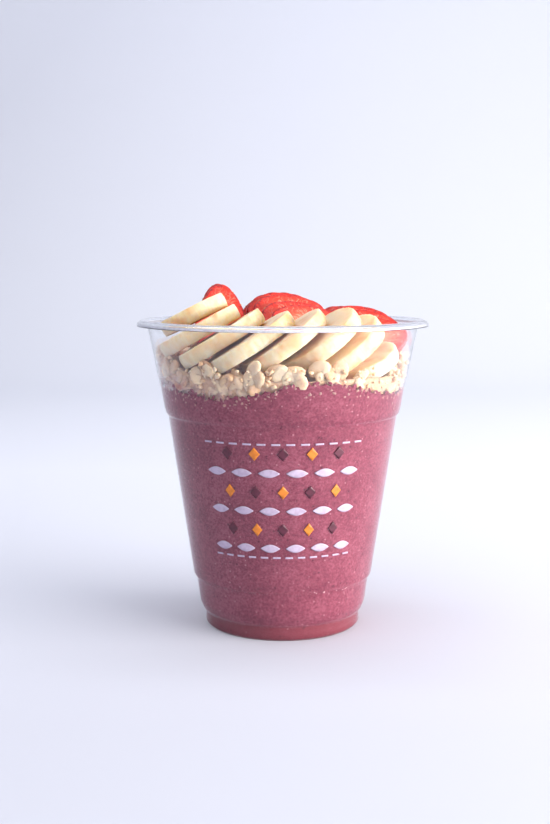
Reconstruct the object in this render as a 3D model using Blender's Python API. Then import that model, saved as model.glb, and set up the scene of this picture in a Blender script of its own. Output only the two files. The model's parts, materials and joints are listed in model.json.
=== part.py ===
"""Acai bowl in a clear cold cup, in metres, +Z up, standing on the origin.

The cup is a thin shell of clear plastic with a rolled lip, two wall steps and a foot ring. Acai puree
fills it to the collar, granola lies on the puree, banana slices are shingled along the front and
strawberry slices are fanned behind them. The front of the cup faces -Y.
"""

import math
import random
from dataclasses import dataclass

import bmesh
import bpy
from mathutils import Euler, Matrix, Vector, noise
from mathutils.bvhtree import BVHTree

MM = 0.001
GAP = 0.3 * MM  # between pieces that touch
SEGMENTS = 40  # round the cup
SHARP_ANGLE = math.radians(35)
SEED = 7

# Cup: a thermoformed shell, measured on its outer face
WALL = 0.5 * MM
FLOOR_RISE = 2.0 * MM
FLOOR_RADIUS = 21.0 * MM
FOOT_INNER_RADIUS = 23.5 * MM
FOOT_RADIUS = 25.5 * MM
LIP_RADIUS = 2.0 * MM
LIP_CENTRE = (47.0 * MM, 101.9 * MM)
LIP_STEPS = 6
# Radius and height of each bend of the wall, from the foot ring to the lip
WALL_BENDS = (
    (26.4 * MM, 0.8 * MM),
    (26.4 * MM, 4.2 * MM),
    (28.4 * MM, 8.2 * MM),
    (29.5 * MM, 15.6 * MM),
    (30.6 * MM, 18.0 * MM),
    (38.6 * MM, 71.0 * MM),
    (40.0 * MM, 74.6 * MM),
    (41.2 * MM, 81.8 * MM),
    (41.7 * MM, 82.8 * MM),
    (45.0 * MM, 99.5 * MM),
)

# Filling levels
PUREE_MIDDLE = 77.6 * MM
PUREE_EDGE = 82.6 * MM  # mean height of its wavy edge at the wall
PUREE_LONG_WAVE = 2.2 * MM
PUREE_SHORT_WAVE = 0.9 * MM
PUREE_CREST = math.radians(16)  # right of the front
PUREE_CLIMB = 1.5  # exponent of its climb to the wall
PUREE_SIDE_GAP = 0.4 * MM
PUREE_SIDE = (4.2 * MM, 78.4 * MM)  # lowest and highest row where it follows the wall
LEVEL_SHARES = (1.0, 0.92, 0.86, 0.5, 0.15)  # rows of a level, as shares of the wall radius
EDGE_BAND = LEVEL_SHARES[2]  # share from which a level climbs the wall
GRANOLA_FRONT = 80.8 * MM  # bare core under the banana slices
GRANOLA_EDGE_RISE = 6.0 * MM
GRANOLA_LEFT_RISE = 3.0 * MM
GRANOLA_MOUND = 11.8 * MM  # added behind the middle
MOUND_Y = 14.0 * MM
MOUND_HALF_WIDTH = 42.0 * MM
MOUND_HALF_DEPTH = 28.0 * MM
GRANOLA_SIDE_GAP = 1.3 * MM
GRANOLA_BUMP = 0.5 * MM
BUMPS_PER_METRE = 120

# Granola grains: rolled oats and small clusters
GRAIN_LENGTH = (6.0 * MM, 8.5 * MM)
GRAIN_WIDTH = (0.65, 0.85)  # shares of the length
GRAIN_HEIGHT = (0.45, 0.75)
GRAIN_TIP = 0.5  # radians out of flat
GRAIN_SHIFT = 0.5 * MM
GRAIN_SHIFTS = 4
WALL_GRAINS = 56
WALL_GRAIN_DEPTH = 2.6 * MM  # of its centre behind the wall
WALL_GRAIN_BAND = (2.4 * MM, 1.0 * MM)  # above the puree's edge and above the core
TOP_GRAINS = 44
TOP_GRAIN_REACH = 0.93  # share of the wall radius
TOP_GRAIN_RISE = 0.8 * MM
GOLDEN_ANGLE = math.radians(137.508)

# Slices
BANANA_SIDES = 20
BANANA_ROUNDING = 0.9 * MM
BANANA_SWELLS = ((3, 0.025), (5, 0.012))  # waves round the outline and their size
BERRY_SIDES = 16
BERRY_ROUNDING = 1.1 * MM
BERRY_TAPER = 0.30  # narrows the tip and widens the shoulder
BERRY_SWELL = 0.02
HULL_SHARE = 0.85  # of the half length, past which the shoulder is notched
HULL_NOTCH = 0.10
CHEEK_DOME = 1.0 * MM
CHEEK_INSET = 3.5 * MM
DROP_FROM = 128.0 * MM
DROP_STEP = 1.0 * MM
DROP_FINE = 0.1 * MM
WALL_SLIDE = 0.3 * MM
WALL_SLIDES = 30
UPRIGHT_LEAN = 40  # degrees from which a slice counts as standing
PERCH_HEIGHT = 3.0 * MM
SLIDE_STEP = 0.7 * MM
SLIDE_TRIES = 14
SWELL = 0.34 * MM


@dataclass(frozen=True)
class Slice:
    """One cut slice: where it is let down, how it lies, and its own size."""

    x: float
    y: float
    tilt: float  # degrees that its right side is raised
    lean: float  # degrees that its back side is raised
    turn: float  # degrees about the vertical
    length: float
    width: float
    thickness: float
    roll: float = 0.0  # degrees in its own plane
    dome: float = 0.0  # height of the rounded skin side of a cheek slice


@dataclass(frozen=True)
class Fan:
    """One strawberry cut lengthwise and fanned: its slices lean back on each other."""

    x: float  # of its back slice
    back_y: float
    side_pitch: float  # step to the right from a slice to the one in front of it
    pitch: float
    count: int
    back_lean: float
    front_lean: float
    tilt: float
    turn: float
    length: float
    width: float
    thickness: float
    roll: float

    def slices(self, rng):
        """The slices from the back one to the front one, the middle ones the largest."""
        for index in range(self.count):
            share = index / (self.count - 1)
            middle = 1 - abs(2 * share - 1)
            grown = 0.90 + 0.10 * middle
            yield Slice(
                self.x + self.side_pitch * index + rng.uniform(-0.3, 0.3) * MM,
                self.back_y - self.pitch * index,
                self.tilt + rng.uniform(-2, 2),
                self.back_lean + (self.front_lean - self.back_lean) * share,
                self.turn * (1 - share) + rng.uniform(-2, 2),
                self.length * grown,
                self.width * grown,
                self.thickness,
                self.roll + rng.uniform(-4, 4),
                CHEEK_DOME if index == self.count - 1 else 0.0,
            )


# Banana slices from the lowest, at the right, to the top one at the left
BANANAS = (
    Slice(25.5 * MM, -16.5 * MM, 21, 0, 36, 28 * MM, 27 * MM, 4.6 * MM),
    Slice(18.6 * MM, -20.5 * MM, 37, 2, 24, 30 * MM, 29 * MM, 5.0 * MM),
    Slice(11.2 * MM, -24.0 * MM, 37, 2, 13, 31 * MM, 30 * MM, 4.8 * MM),
    Slice(0.0 * MM, -26.0 * MM, 35, 1, 6, 31 * MM, 30 * MM, 4.8 * MM),
    Slice(-10.4 * MM, -25.0 * MM, 33, 1, 2, 31 * MM, 30 * MM, 4.6 * MM),
    Slice(-19.4 * MM, -20.5 * MM, 31, 0, 0, 30 * MM, 29 * MM, 4.8 * MM),
    Slice(-26.8 * MM, -14.0 * MM, 29, 0, -2, 28 * MM, 27 * MM, 4.8 * MM),
    Slice(-29.8 * MM, -6.5 * MM, 27, 0, -4, 23 * MM, 24 * MM, 5.0 * MM),
)

FANS = (
    Fan(23.0 * MM, 23.0 * MM, 3.2 * MM, 6.0 * MM, 4, 60, 56, -9, -10, 26 * MM, 20 * MM, 3.4 * MM, -66),
    Fan(-5.0 * MM, 34.0 * MM, 2.4 * MM, 6.0 * MM, 6, 70, 48, -16, 0, 28 * MM, 21 * MM, 3.5 * MM, -54),
    Fan(-21.6 * MM, 26.0 * MM, 0.0, 6.0 * MM, 4, 66, 60, 0, 4, 29 * MM, 18 * MM, 3.4 * MM, 2),
)


def berry_pieces():
    """Every strawberry slice, in the order in which they are let down."""
    rng = random.Random(SEED)
    return [piece for fan in FANS for piece in fan.slices(rng)]


def clear_scene():
    """Removes every object of the scene."""
    for obj in list(bpy.data.objects):
        bpy.data.objects.remove(obj, do_unlink=True)


def make_material(name, colour, roughness, alpha=1.0, transmission=0.0):
    """A Principled material in one linear colour."""
    made = bpy.data.materials.new(name)
    made.use_nodes = True
    shader = made.node_tree.nodes["Principled BSDF"]
    shader.inputs["Base Color"].default_value = (*colour, 1.0)
    shader.inputs["Roughness"].default_value = roughness
    shader.inputs["Metallic"].default_value = 0.0
    shader.inputs["Alpha"].default_value = alpha
    shader.inputs["Transmission Weight"].default_value = transmission
    return made


def add_object(name, mesh_data, material):
    """Makes an object of a bmesh, smooth where its faces meet gently."""
    mesh = bpy.data.meshes.new(name)
    bmesh.ops.recalc_face_normals(mesh_data, faces=mesh_data.faces)
    mesh_data.to_mesh(mesh)
    mesh_data.free()
    mesh.shade_smooth()
    mesh.set_sharp_from_angle(angle=SHARP_ANGLE)
    mesh.materials.append(material)
    obj = bpy.data.objects.new(name, mesh)
    bpy.context.scene.collection.objects.link(obj)
    return obj


def offset_line(points, distance):
    """Moves an open line of (radius, height) points to its left by a distance, with mitred bends."""
    moved = []
    for index, point in enumerate(points):
        before = Vector(points[max(index - 1, 0)])
        after = Vector(points[min(index + 1, len(points) - 1)])
        here = Vector(point)
        arriving = (here - before) if index else (after - here)
        leaving = (after - here) if index < len(points) - 1 else (here - before)
        first = Vector((-arriving.y, arriving.x)).normalized()
        second = Vector((-leaving.y, leaving.x)).normalized()
        mitre = (first + second).normalized()
        moved.append(here + mitre * (distance / max(mitre.dot(first), 0.5)))
    return moved


def lip_arc(radius):
    """The rolled lip as a half circle over the top of the wall, from the wall to its free edge."""
    middle = Vector(LIP_CENTRE)
    turns = [math.pi * (1 - step / LIP_STEPS) for step in range(LIP_STEPS + 1)]
    return [middle + Vector((math.cos(turn), math.sin(turn))) * radius for turn in turns]


def cup_lines():
    """The outer and the inner line of the shell, each from the axis to the free edge of the lip."""
    floor = [
        (0.0, FLOOR_RISE),
        (FLOOR_RADIUS, FLOOR_RISE),
        (FOOT_INNER_RADIUS, 0.0),
        (FOOT_RADIUS, 0.0),
    ]
    outer = floor + list(WALL_BENDS)
    inner = offset_line(outer, WALL)
    inner[0].x = 0.0
    return (
        [Vector(point) for point in outer] + lip_arc(LIP_RADIUS - WALL),
        inner + lip_arc(LIP_RADIUS),
    )


def make_cup(material):
    """The clear cup, spun from its closed section."""
    outer, inner = cup_lines()
    section = outer + inner[::-1]
    shell = bmesh.new()
    points = [shell.verts.new((point.x, 0.0, point.y)) for point in section]
    edges = [shell.edges.new(pair) for pair in zip(points, points[1:])]
    bmesh.ops.spin(
        shell,
        geom=points + edges,
        axis=(0, 0, 1),
        cent=(0, 0, 0),
        angle=math.tau,
        steps=SEGMENTS,
        use_merge=True,
    )
    bmesh.ops.remove_doubles(shell, verts=shell.verts, dist=0.01 * MM)
    return add_object("cup", shell, material)


def inner_radius(height):
    """Radius of the cup's inner face at a height."""
    line = [point for point in cup_lines()[1] if point.x > FOOT_INNER_RADIUS]
    for low, high in zip(line, line[1:]):
        if low.y <= height <= high.y:
            share = (height - low.y) / max(high.y - low.y, 1e-9)
            return low.x + (high.x - low.x) * share
    return line[0].x


def puree_edge(angle):
    """Height of the puree's wavy edge at the wall. The front is at minus a quarter turn."""
    past_front = angle + math.pi / 2
    long_wave = PUREE_LONG_WAVE * math.cos(3 * (past_front - PUREE_CREST))
    return PUREE_EDGE + long_wave + PUREE_SHORT_WAVE * math.cos(5 * (past_front - PUREE_CREST))


def puree_top(radius, angle):
    """Height of the puree under the granola: flat in the middle, climbing at the wall."""
    wall = inner_radius(PUREE_EDGE)
    share = max(0.0, (radius / wall - EDGE_BAND) / (1 - EDGE_BAND))
    return PUREE_MIDDLE + (puree_edge(angle) - PUREE_MIDDLE) * min(share, 1.0) ** PUREE_CLIMB


def granola_top(radius, angle):
    """Height of the bare granola core: low in front, a mound behind the middle, a rise at the wall."""
    wall = inner_radius(GRANOLA_FRONT)
    x = radius * math.cos(angle)
    y = radius * math.sin(angle)
    back = max(0.0, 1.0 - (x / MOUND_HALF_WIDTH) ** 2 - ((y - MOUND_Y) / MOUND_HALF_DEPTH) ** 2)
    share = max(0.0, (radius / wall - EDGE_BAND) / (1 - EDGE_BAND))
    left = GRANOLA_LEFT_RISE * max(0.0, -x / wall) ** 2
    bump = GRANOLA_BUMP * noise.noise(Vector((x, y, 0.0)) * BUMPS_PER_METRE)
    return GRANOLA_FRONT + GRANOLA_MOUND * back + GRANOLA_EDGE_RISE * min(share, 1.0) + left + bump


def ring(radius_at, height_at):
    """One closed row of points round the axis."""
    turns = [math.tau * step / SEGMENTS for step in range(SEGMENTS)]
    return [
        Vector((radius_at(turn) * math.cos(turn), radius_at(turn) * math.sin(turn), height_at(turn)))
        for turn in turns
    ]


def lofted(rings):
    """Joins closed rows of points with triangles and closes both ends to a point on the axis.

    Each pair of triangles is split from the outer row forward to the inner one, so that two
    surfaces on the same rows keep their distance.
    """
    solid = bmesh.new()
    rows = [[solid.verts.new(point) for point in row] for row in rings]
    for low, high in zip(rows, rows[1:]):
        outwards = low[0].co.xy.length < high[0].co.xy.length
        for index in range(len(low)):
            following = (index + 1) % len(low)
            a, b, c, d = low[index], low[following], high[following], high[index]
            halves = ((a, b, d), (b, c, d)) if outwards else ((a, b, c), (a, c, d))
            for half in halves:
                solid.faces.new(half)
    for row in (rows[0], rows[-1]):
        height = sum(vertex.co.z for vertex in row) / len(row)
        pole = solid.verts.new((0.0, 0.0, height))
        for index in range(len(row)):
            solid.faces.new((row[index], row[(index + 1) % len(row)], pole))
    return solid


def level_rings(level, wall_at, raised=0.0):
    """Rows of a level surface from the wall inwards."""
    return [
        ring(
            lambda turn, part=share: wall_at(turn) * part,
            lambda turn, part=share: level(wall_at(turn) * part, turn) + raised,
        )
        for share in LEVEL_SHARES
    ]


def puree_wall(turn):
    """Radius of the puree's upper edge."""
    return inner_radius(puree_edge(turn)) - 2 * PUREE_SIDE_GAP


def make_puree(material):
    """The acai puree, solid from the cup's floor to its wavy top."""
    floor = FLOOR_RISE + WALL + GAP
    low, high = PUREE_SIDE
    bends = [height for _, height in WALL_BENDS if low < height < high]
    heights = [floor + GAP, low, *bends, high]
    rows = [ring(lambda turn: FLOOR_RADIUS * 0.5, lambda turn: floor)]
    for height in heights:
        radius = inner_radius(height) - PUREE_SIDE_GAP
        rows.append(ring(lambda turn, r=radius: r, lambda turn, h=height: h))
    rows += level_rings(puree_top, puree_wall)
    return add_object("acai_puree", lofted(rows), material)


def granola_wall(turn):
    """Radius of the granola core's upper edge."""
    return inner_radius(granola_top(inner_radius(GRANOLA_FRONT), turn)) - GRANOLA_SIDE_GAP


def make_granola_core(material):
    """The granola as one low heap between the puree and the toppings, without its loose grains."""
    under = level_rings(puree_top, puree_wall, raised=GAP)[::-1]
    over = level_rings(granola_top, granola_wall)
    return add_object("granola", lofted(under + over), material)


def grain(rng, centre, flat_on):
    """A rolled oat or a small cluster as a squashed ball with 30 faces."""
    length = rng.uniform(*GRAIN_LENGTH)
    height = length * rng.uniform(*GRAIN_HEIGHT)
    width = length * rng.uniform(*GRAIN_WIDTH)
    shape = bmesh.new()
    bmesh.ops.create_uvsphere(shape, u_segments=5, v_segments=4, radius=0.5)
    bmesh.ops.scale(shape, vec=(length, width, height), verts=shape.verts)
    spin = Matrix.Rotation(rng.uniform(0, math.tau), 4, "Z")
    tips = [rng.uniform(-GRAIN_TIP, GRAIN_TIP) for _ in range(2)]
    tip = Euler((*tips, 0)).to_matrix().to_4x4()
    aim = flat_on.to_track_quat("Z", "Y").to_matrix().to_4x4()
    bmesh.ops.transform(shape, matrix=Matrix.Translation(centre) @ aim @ tip @ spin, verts=shape.verts)
    return shape


def swollen_tree(shape, matrix):
    """A search tree of a shape at a place, grown on all sides by the clearance."""
    grown = shape.copy()
    grown.normal_update()
    moves = [vertex.normal * vertex.calc_shell_factor() * SWELL for vertex in grown.verts]
    for vertex, move in zip(grown.verts, moves):
        vertex.co += move
    grown.transform(matrix)
    tree = BVHTree.FromBMesh(grown)
    grown.free()
    return tree


def world_tree(obj):
    """A search tree of an object's surface in world space."""
    shape = bmesh.new()
    shape.from_mesh(obj.data)
    shape.transform(obj.matrix_world)
    tree = BVHTree.FromBMesh(shape)
    shape.free()
    return tree


def touches(shape, matrix, trees):
    """Whether the grown shape would meet any of the surfaces."""
    grown = swollen_tree(shape, matrix)
    return any(grown.overlap(tree) for tree in trees)


def slide_off_wall(shape, place, turned, cup_tree):
    """Moves a place towards the axis until the shape is clear of the cup."""
    for _ in range(WALL_SLIDES):
        if not touches(shape, Matrix.Translation(place) @ turned, [cup_tree]):
            break
        inwards = Vector((-place.x, -place.y, 0.0)).normalized()
        place = place + inwards * WALL_SLIDE
    return place


def lowered(shape, turned, start, cup_tree, trees):
    """Lets a shape down from a start until it meets what lies under it, and gives its place."""
    place = start.copy()
    for step in (DROP_STEP, DROP_FINE):
        while place.z > 0:
            lower = slide_off_wall(shape, place - Vector((0, 0, step)), turned, cup_tree)
            if touches(shape, Matrix.Translation(lower) @ turned, trees + [cup_tree]):
                break
            place = lower
    return place


def settle(shape, piece, cup_tree, trees):
    """Lets a slice down on the others, moving it forward where it would only perch on one.

    Returns the matrix of its resting place, or None where it finds no room.
    """
    turned = Matrix.Rotation(math.radians(piece.turn), 4, "Z")
    turned @= Matrix.Rotation(math.radians(-piece.tilt), 4, "Y")
    turned @= Matrix.Rotation(math.radians(piece.lean), 4, "X")
    turned @= Matrix.Rotation(math.radians(piece.roll), 4, "Z")
    forward = SLIDE_STEP if piece.lean > UPRIGHT_LEAN else 0.0
    for number in range(SLIDE_TRIES):
        start = Vector((piece.x, piece.y - forward * number, DROP_FROM))
        alone = lowered(shape, turned, start, cup_tree, trees[:2])
        place = lowered(shape, turned, start, cup_tree, trees)
        if not forward or place.z - alone.z < PERCH_HEIGHT:
            return Matrix.Translation(place) @ turned
    return None


def rounded_plate(outline, thickness, rounding, dome):
    """A plate of an outline with rounded rims and, for a cheek slice, a domed top."""
    plate = bmesh.new()
    rim = [plate.verts.new((point.x, point.y, -thickness / 2)) for point in outline]
    face = plate.faces.new(rim)
    raised = bmesh.ops.extrude_face_region(plate, geom=[face])
    top = [item for item in raised["geom"] if isinstance(item, bmesh.types.BMVert)]
    bmesh.ops.translate(plate, vec=(0, 0, thickness), verts=top)
    bmesh.ops.recalc_face_normals(plate, faces=plate.faces)
    rims = [edge for edge in plate.edges if edge.verts[0].co.z == edge.verts[1].co.z]
    bmesh.ops.bevel(
        plate,
        geom=rims,
        offset=rounding,
        segments=1,
        profile=0.5,
        affect="EDGES",
        material=-1,
    )
    if dome:
        cap = max(plate.faces, key=lambda item: item.calc_center_median().z)
        bmesh.ops.inset_region(plate, faces=[cap], thickness=CHEEK_INSET)
        bmesh.ops.translate(plate, vec=(0, 0, dome), verts=cap.verts)
    return plate


def banana_outline(piece, phase):
    """A round slightly out of true, as a cut banana is."""
    points = []
    for step in range(BANANA_SIDES):
        turn = math.tau * step / BANANA_SIDES
        swell = 1.0
        for number, (waves, size) in enumerate(BANANA_SWELLS, 1):
            swell += size * math.sin(waves * turn + number * phase)
        across = piece.length / 2 * math.cos(turn)
        along = piece.width / 2 * math.sin(turn)
        points.append(Vector((across, along)) * swell)
    return points


def berry_outline(piece, phase):
    """The outline of a strawberry cut lengthwise, its tip at +Y and its hulled shoulder at -Y."""
    points = []
    for step in range(BERRY_SIDES):
        turn = math.tau * step / BERRY_SIDES
        across = math.sin(turn) * (1 - BERRY_TAPER * math.cos(turn))
        along = math.cos(turn)
        if along < -HULL_SHARE:
            along += HULL_NOTCH
        swell = 1 + BERRY_SWELL * math.sin(3 * turn + phase)
        points.append(Vector((piece.width / 2 * across, piece.length / 2 * along)) * swell)
    return points[::-1]


def make_slices(prefix, pieces, outline_of, rounding, material, cup_tree, trees):
    """Makes each slice and lets it down on those before it."""
    made = []
    for number, piece in enumerate(pieces, 1):
        outline = outline_of(piece, 1.7 * number)
        plate = rounded_plate(outline, piece.thickness, rounding, piece.dome)
        bmesh.ops.triangulate(plate, faces=plate.faces)
        place = settle(plate, piece, cup_tree, trees)
        if place is None:
            plate.free()
            continue
        obj = add_object(f"{prefix}_{len(made) + 1}", plate, material)
        obj.matrix_world = place
        bpy.context.view_layer.update()
        trees.append(world_tree(obj))
        made.append(obj)
    return made


def grain_places(rng):
    """Places for grains: round the wall in the visible band, and spread over the top of the core."""
    wall = inner_radius(GRANOLA_FRONT)
    for index in range(WALL_GRAINS):
        angle = math.tau * (index + rng.uniform(-0.27, 0.27)) / WALL_GRAINS
        low = puree_edge(angle) + WALL_GRAIN_BAND[0]
        high = granola_top(wall, angle) + WALL_GRAIN_BAND[1]
        height = low + (high - low) * rng.random()
        radius = inner_radius(height) - WALL_GRAIN_DEPTH
        outwards = Vector((math.cos(angle), math.sin(angle), 0.0))
        yield outwards * radius + Vector((0, 0, height)), outwards
    for index in range(TOP_GRAINS):
        angle = GOLDEN_ANGLE * index
        radius = wall * TOP_GRAIN_REACH * math.sqrt((index + 0.5) / TOP_GRAINS)
        height = granola_top(radius, angle) + TOP_GRAIN_RISE
        centre = Vector((radius * math.cos(angle), radius * math.sin(angle), height))
        yield centre, Vector((0, 0, 1))


def add_grains(core, material, obstacles):
    """Fuses grains to the granola core where they are clear of everything else."""
    rng = random.Random(SEED)
    holder = bpy.data.collections.new("grains")
    bpy.context.scene.collection.children.link(holder)
    still = Matrix.Identity(4)
    for number, (centre, flat_on) in enumerate(grain_places(rng)):
        shape = grain(rng, centre, flat_on)
        inwards = Vector((-centre.x, -centre.y, 0.0)).normalized()
        for _ in range(GRAIN_SHIFTS):
            if not touches(shape, still, obstacles):
                break
            bmesh.ops.translate(shape, vec=inwards * GRAIN_SHIFT, verts=shape.verts)
        if touches(shape, still, obstacles):
            shape.free()
            continue
        obj = add_object(f"grain_{number}", shape, material)
        bpy.context.scene.collection.objects.unlink(obj)
        holder.objects.link(obj)
    fuse = core.modifiers.new("fused_grains", "BOOLEAN")
    fuse.operation = "UNION"
    fuse.operand_type = "COLLECTION"
    fuse.collection = holder
    fuse.use_self = True
    bpy.context.view_layer.update()
    evaluated = core.evaluated_get(bpy.context.evaluated_depsgraph_get())
    core.data = bpy.data.meshes.new_from_object(evaluated)
    core.modifiers.clear()
    for obj in list(holder.objects):
        bpy.data.objects.remove(obj, do_unlink=True)
    bpy.data.collections.remove(holder)


def main():
    """Builds the bowl from the cup inwards and upwards."""
    clear_scene()
    clear_plastic = make_material("clear_plastic", (0.95, 0.96, 0.98), 0.08, 0.35, 0.9)
    acai = make_material("acai", (0.25, 0.085, 0.115), 0.55)
    oats = make_material("oats", (0.62, 0.45, 0.28), 0.75)
    banana = make_material("banana_flesh", (0.87, 0.75, 0.50), 0.5)
    strawberry = make_material("strawberry_flesh", (0.72, 0.07, 0.05), 0.35)
    cup = make_cup(clear_plastic)
    puree = make_puree(acai)
    core = make_granola_core(oats)
    cup_tree = world_tree(cup)
    trees = [world_tree(puree), world_tree(core)]
    slices = make_slices("banana", BANANAS, banana_outline, BANANA_ROUNDING, banana, cup_tree, trees)
    berries = berry_pieces()
    slices += make_slices("strawberry", berries, berry_outline, BERRY_ROUNDING, strawberry, cup_tree, trees)
    clear_of = [cup_tree, world_tree(puree)] + [world_tree(obj) for obj in slices]
    add_grains(core, oats, clear_of)


main()
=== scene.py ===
"""Looks of an acai bowl in a clear cold cup: puree, granola, banana slices and strawberry slices.

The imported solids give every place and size. Each sub-assembly below is a class that builds its own
pieces over them, in metres and in the same frame, and dresses them with materials made of nodes.
"""

from __future__ import annotations

import json
import logging
import math
import random
from collections.abc import Callable, Iterable, Sequence
from dataclasses import dataclass, field
from enum import Enum
from functools import cached_property

import bmesh
import bpy
from mathutils import Euler, Matrix, Vector, noise
from mathutils.bvhtree import BVHTree

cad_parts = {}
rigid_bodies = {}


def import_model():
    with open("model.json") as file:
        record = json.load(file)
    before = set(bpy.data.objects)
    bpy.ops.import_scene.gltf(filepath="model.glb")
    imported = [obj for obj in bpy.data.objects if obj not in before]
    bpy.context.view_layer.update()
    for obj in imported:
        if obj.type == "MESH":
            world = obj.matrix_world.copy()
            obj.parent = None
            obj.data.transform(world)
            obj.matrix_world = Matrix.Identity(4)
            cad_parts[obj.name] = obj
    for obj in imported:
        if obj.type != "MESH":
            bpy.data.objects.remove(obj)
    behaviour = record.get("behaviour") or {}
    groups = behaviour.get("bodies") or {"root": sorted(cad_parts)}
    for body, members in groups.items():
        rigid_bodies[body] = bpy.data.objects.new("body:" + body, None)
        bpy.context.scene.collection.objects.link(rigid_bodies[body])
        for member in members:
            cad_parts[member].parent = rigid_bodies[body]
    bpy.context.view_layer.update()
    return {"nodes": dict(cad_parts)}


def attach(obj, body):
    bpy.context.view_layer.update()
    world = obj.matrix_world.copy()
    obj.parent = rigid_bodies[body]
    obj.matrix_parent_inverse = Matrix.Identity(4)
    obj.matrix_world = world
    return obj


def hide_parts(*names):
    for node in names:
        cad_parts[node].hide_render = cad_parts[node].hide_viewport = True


LOG = logging.getLogger("acai_bowl")
MM = 0.001
SEED = 23
BODY = "root"

# Sockets of a Mix node set to colours
MIX_A = 6
MIX_B = 7
MIX_RESULT = 2

# Shares of a slice's reach and half thickness from which a point counts as side or as cut face
SIDE_SHARE = 0.93
FACE_SHARE = 0.85

Colour = tuple[float, float, float, float]
Socket = bpy.types.NodeSocket
Piece = bpy.types.Object
Shape = bmesh.types.BMesh
Edge = bmesh.types.BMEdge
Corner = bmesh.types.BMVert
Pair = tuple[float, float]
Triple = tuple[float, float, float]


class Slot(Enum):
    """Material slots of the record."""

    CLEAR_PLASTIC = "clear_plastic"
    ACAI = "acai"
    OATS = "oats"
    BANANA = "banana_flesh"
    STRAWBERRY = "strawberry_flesh"


class Motif(Enum):
    """Shapes of the printed pattern, by how their height falls off to their ends."""

    LEAF = "leaf"
    LOZENGE = "lozenge"
    DASH = "dash"


def linear(hex_code: str) -> Colour:
    """Turns an sRGB hex value to a linear colour.

    Args:
        hex_code: Six hex digits after a hash sign.

    Returns:
        The linear red, green, blue and an alpha of 1.
    """
    parts = [int(hex_code[place : place + 2], 16) / 255 for place in (1, 3, 5)]
    red, green, blue = (
        part / 12.92 if part <= 0.04045 else ((part + 0.055) / 1.055) ** 2.4 for part in parts
    )
    return red, green, blue, 1.0


def per_metre(size_mm: float) -> float:
    """Texture scale at which a pattern of Object coordinates repeats at a size in millimetres."""
    return 1000.0 / size_mm


def soft(weight: float, *radii_mm: float) -> dict:
    """Inputs for light that goes into the flesh, with its reach in red, green and blue."""
    radius = tuple(reach * MM for reach in radii_mm)
    return {"Subsurface Weight": weight, "Subsurface Radius": radius, "Subsurface Scale": 1.0}


class Bench:
    """Adds nodes to one tree, and gives the sockets that they feed."""

    def __init__(self, tree: bpy.types.NodeTree) -> None:
        """Clears the tree.

        Args:
            tree: Tree that the nodes join.
        """
        self.tree = tree
        tree.nodes.clear()

    def add(
        self,
        kind: str,
        inputs: dict | None = None,
        stops: Sequence[tuple[float, str]] = (),
        **settings: object,
    ) -> bpy.types.Node:
        """Adds a node with its settings, input values, links and colour stops.

        Args:
            kind: Blender's name of the node's type, without the start that all share.
            inputs: Value or feeding socket of each input, by its name or number.
            stops: Place and hex colour of each stop of a Color Ramp, the first and last ones first.
            **settings: The node's own properties.

        Returns:
            The new node.
        """
        made = self.tree.nodes.new(f"ShaderNode{kind}")
        for name, value in settings.items():
            setattr(made, name, value)
        for key, value in (inputs or {}).items():
            if isinstance(value, Socket):
                self.tree.links.new(value, made.inputs[key])
            else:
                made.inputs[key].default_value = value
        for index, (place, hex_code) in enumerate(stops):
            elements = made.color_ramp.elements
            stop = elements[index] if index < 2 else elements.new(place)
            stop.position = place
            stop.color = linear(hex_code)
        return made

    @cached_property
    def place(self) -> Socket:
        """Object coordinates, in metres."""
        return self.add("TexCoord").outputs["Object"]

    def attribute(self, name: str, output: str = "Fac") -> Socket:
        """What a piece's points know under a name."""
        return self.add("Attribute", attribute_name=name).outputs[output]

    def noise(self, size_mm: float, detail: float, roughness: float = 0.5) -> Socket:
        """Noise of a real size."""
        inputs = {
            "Vector": self.place,
            "Scale": per_metre(size_mm),
            "Detail": detail,
            "Roughness": roughness,
        }
        return self.add("TexNoise", inputs).outputs["Fac"]

    def rays(self, turn: Socket) -> Socket:
        """Noise that runs out from the middle of a slice, by the turn about it."""
        inputs = {"W": turn, "Scale": 9.0, "Detail": 3.0}
        return self.add("TexNoise", inputs, noise_dimensions="1D").outputs["Fac"]

    def maths(self, operation: str, *values: Socket | float) -> Socket:
        """One sum of two or three values."""
        return self.add("Math", dict(enumerate(values)), operation=operation).outputs[0]

    def span(self, value: Socket, low: float, high: float, start: float, end: float) -> Socket:
        """Takes a value from one span to another, and keeps it there."""
        return self.add("MapRange", {"Value": value, 1: low, 2: high, 3: start, 4: end}).outputs[0]

    def mean(self, share: float, first: Socket, second: Socket) -> Socket:
        """Mixes two numbers."""
        return self.add("Mix", {0: share, 2: first, 3: second}, data_type="FLOAT").outputs[0]

    def ramp(self, value: Socket, *stops: tuple[float, str]) -> Socket:
        """Colours a value by stops, the first and the last one first."""
        return self.add("ValToRGB", {"Fac": value}, stops).outputs["Color"]

    def over(self, share: Socket, under: Socket, hex_code: str) -> Socket:
        """Lays a colour over another by a share."""
        inputs = {0: share, MIX_A: under, MIX_B: linear(hex_code)}
        return self.add("Mix", inputs, data_type="RGBA").outputs[MIX_RESULT]

    def bump(self, height: Socket, strength: float, distance_mm: float) -> dict:
        """The input for relief of a real depth."""
        inputs = {"Height": height, "Strength": strength, "Distance": distance_mm * MM}
        return {"Normal": self.add("Bump", inputs).outputs["Normal"]}

    def principled(self, colour: Socket | Colour, roughness: float, *more: dict) -> Socket:
        """The main shader, with further inputs."""
        inputs = {"Base Color": colour, "Roughness": roughness}
        for part in more:
            inputs |= part
        return self.add("BsdfPrincipled", inputs).outputs[0]


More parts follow.
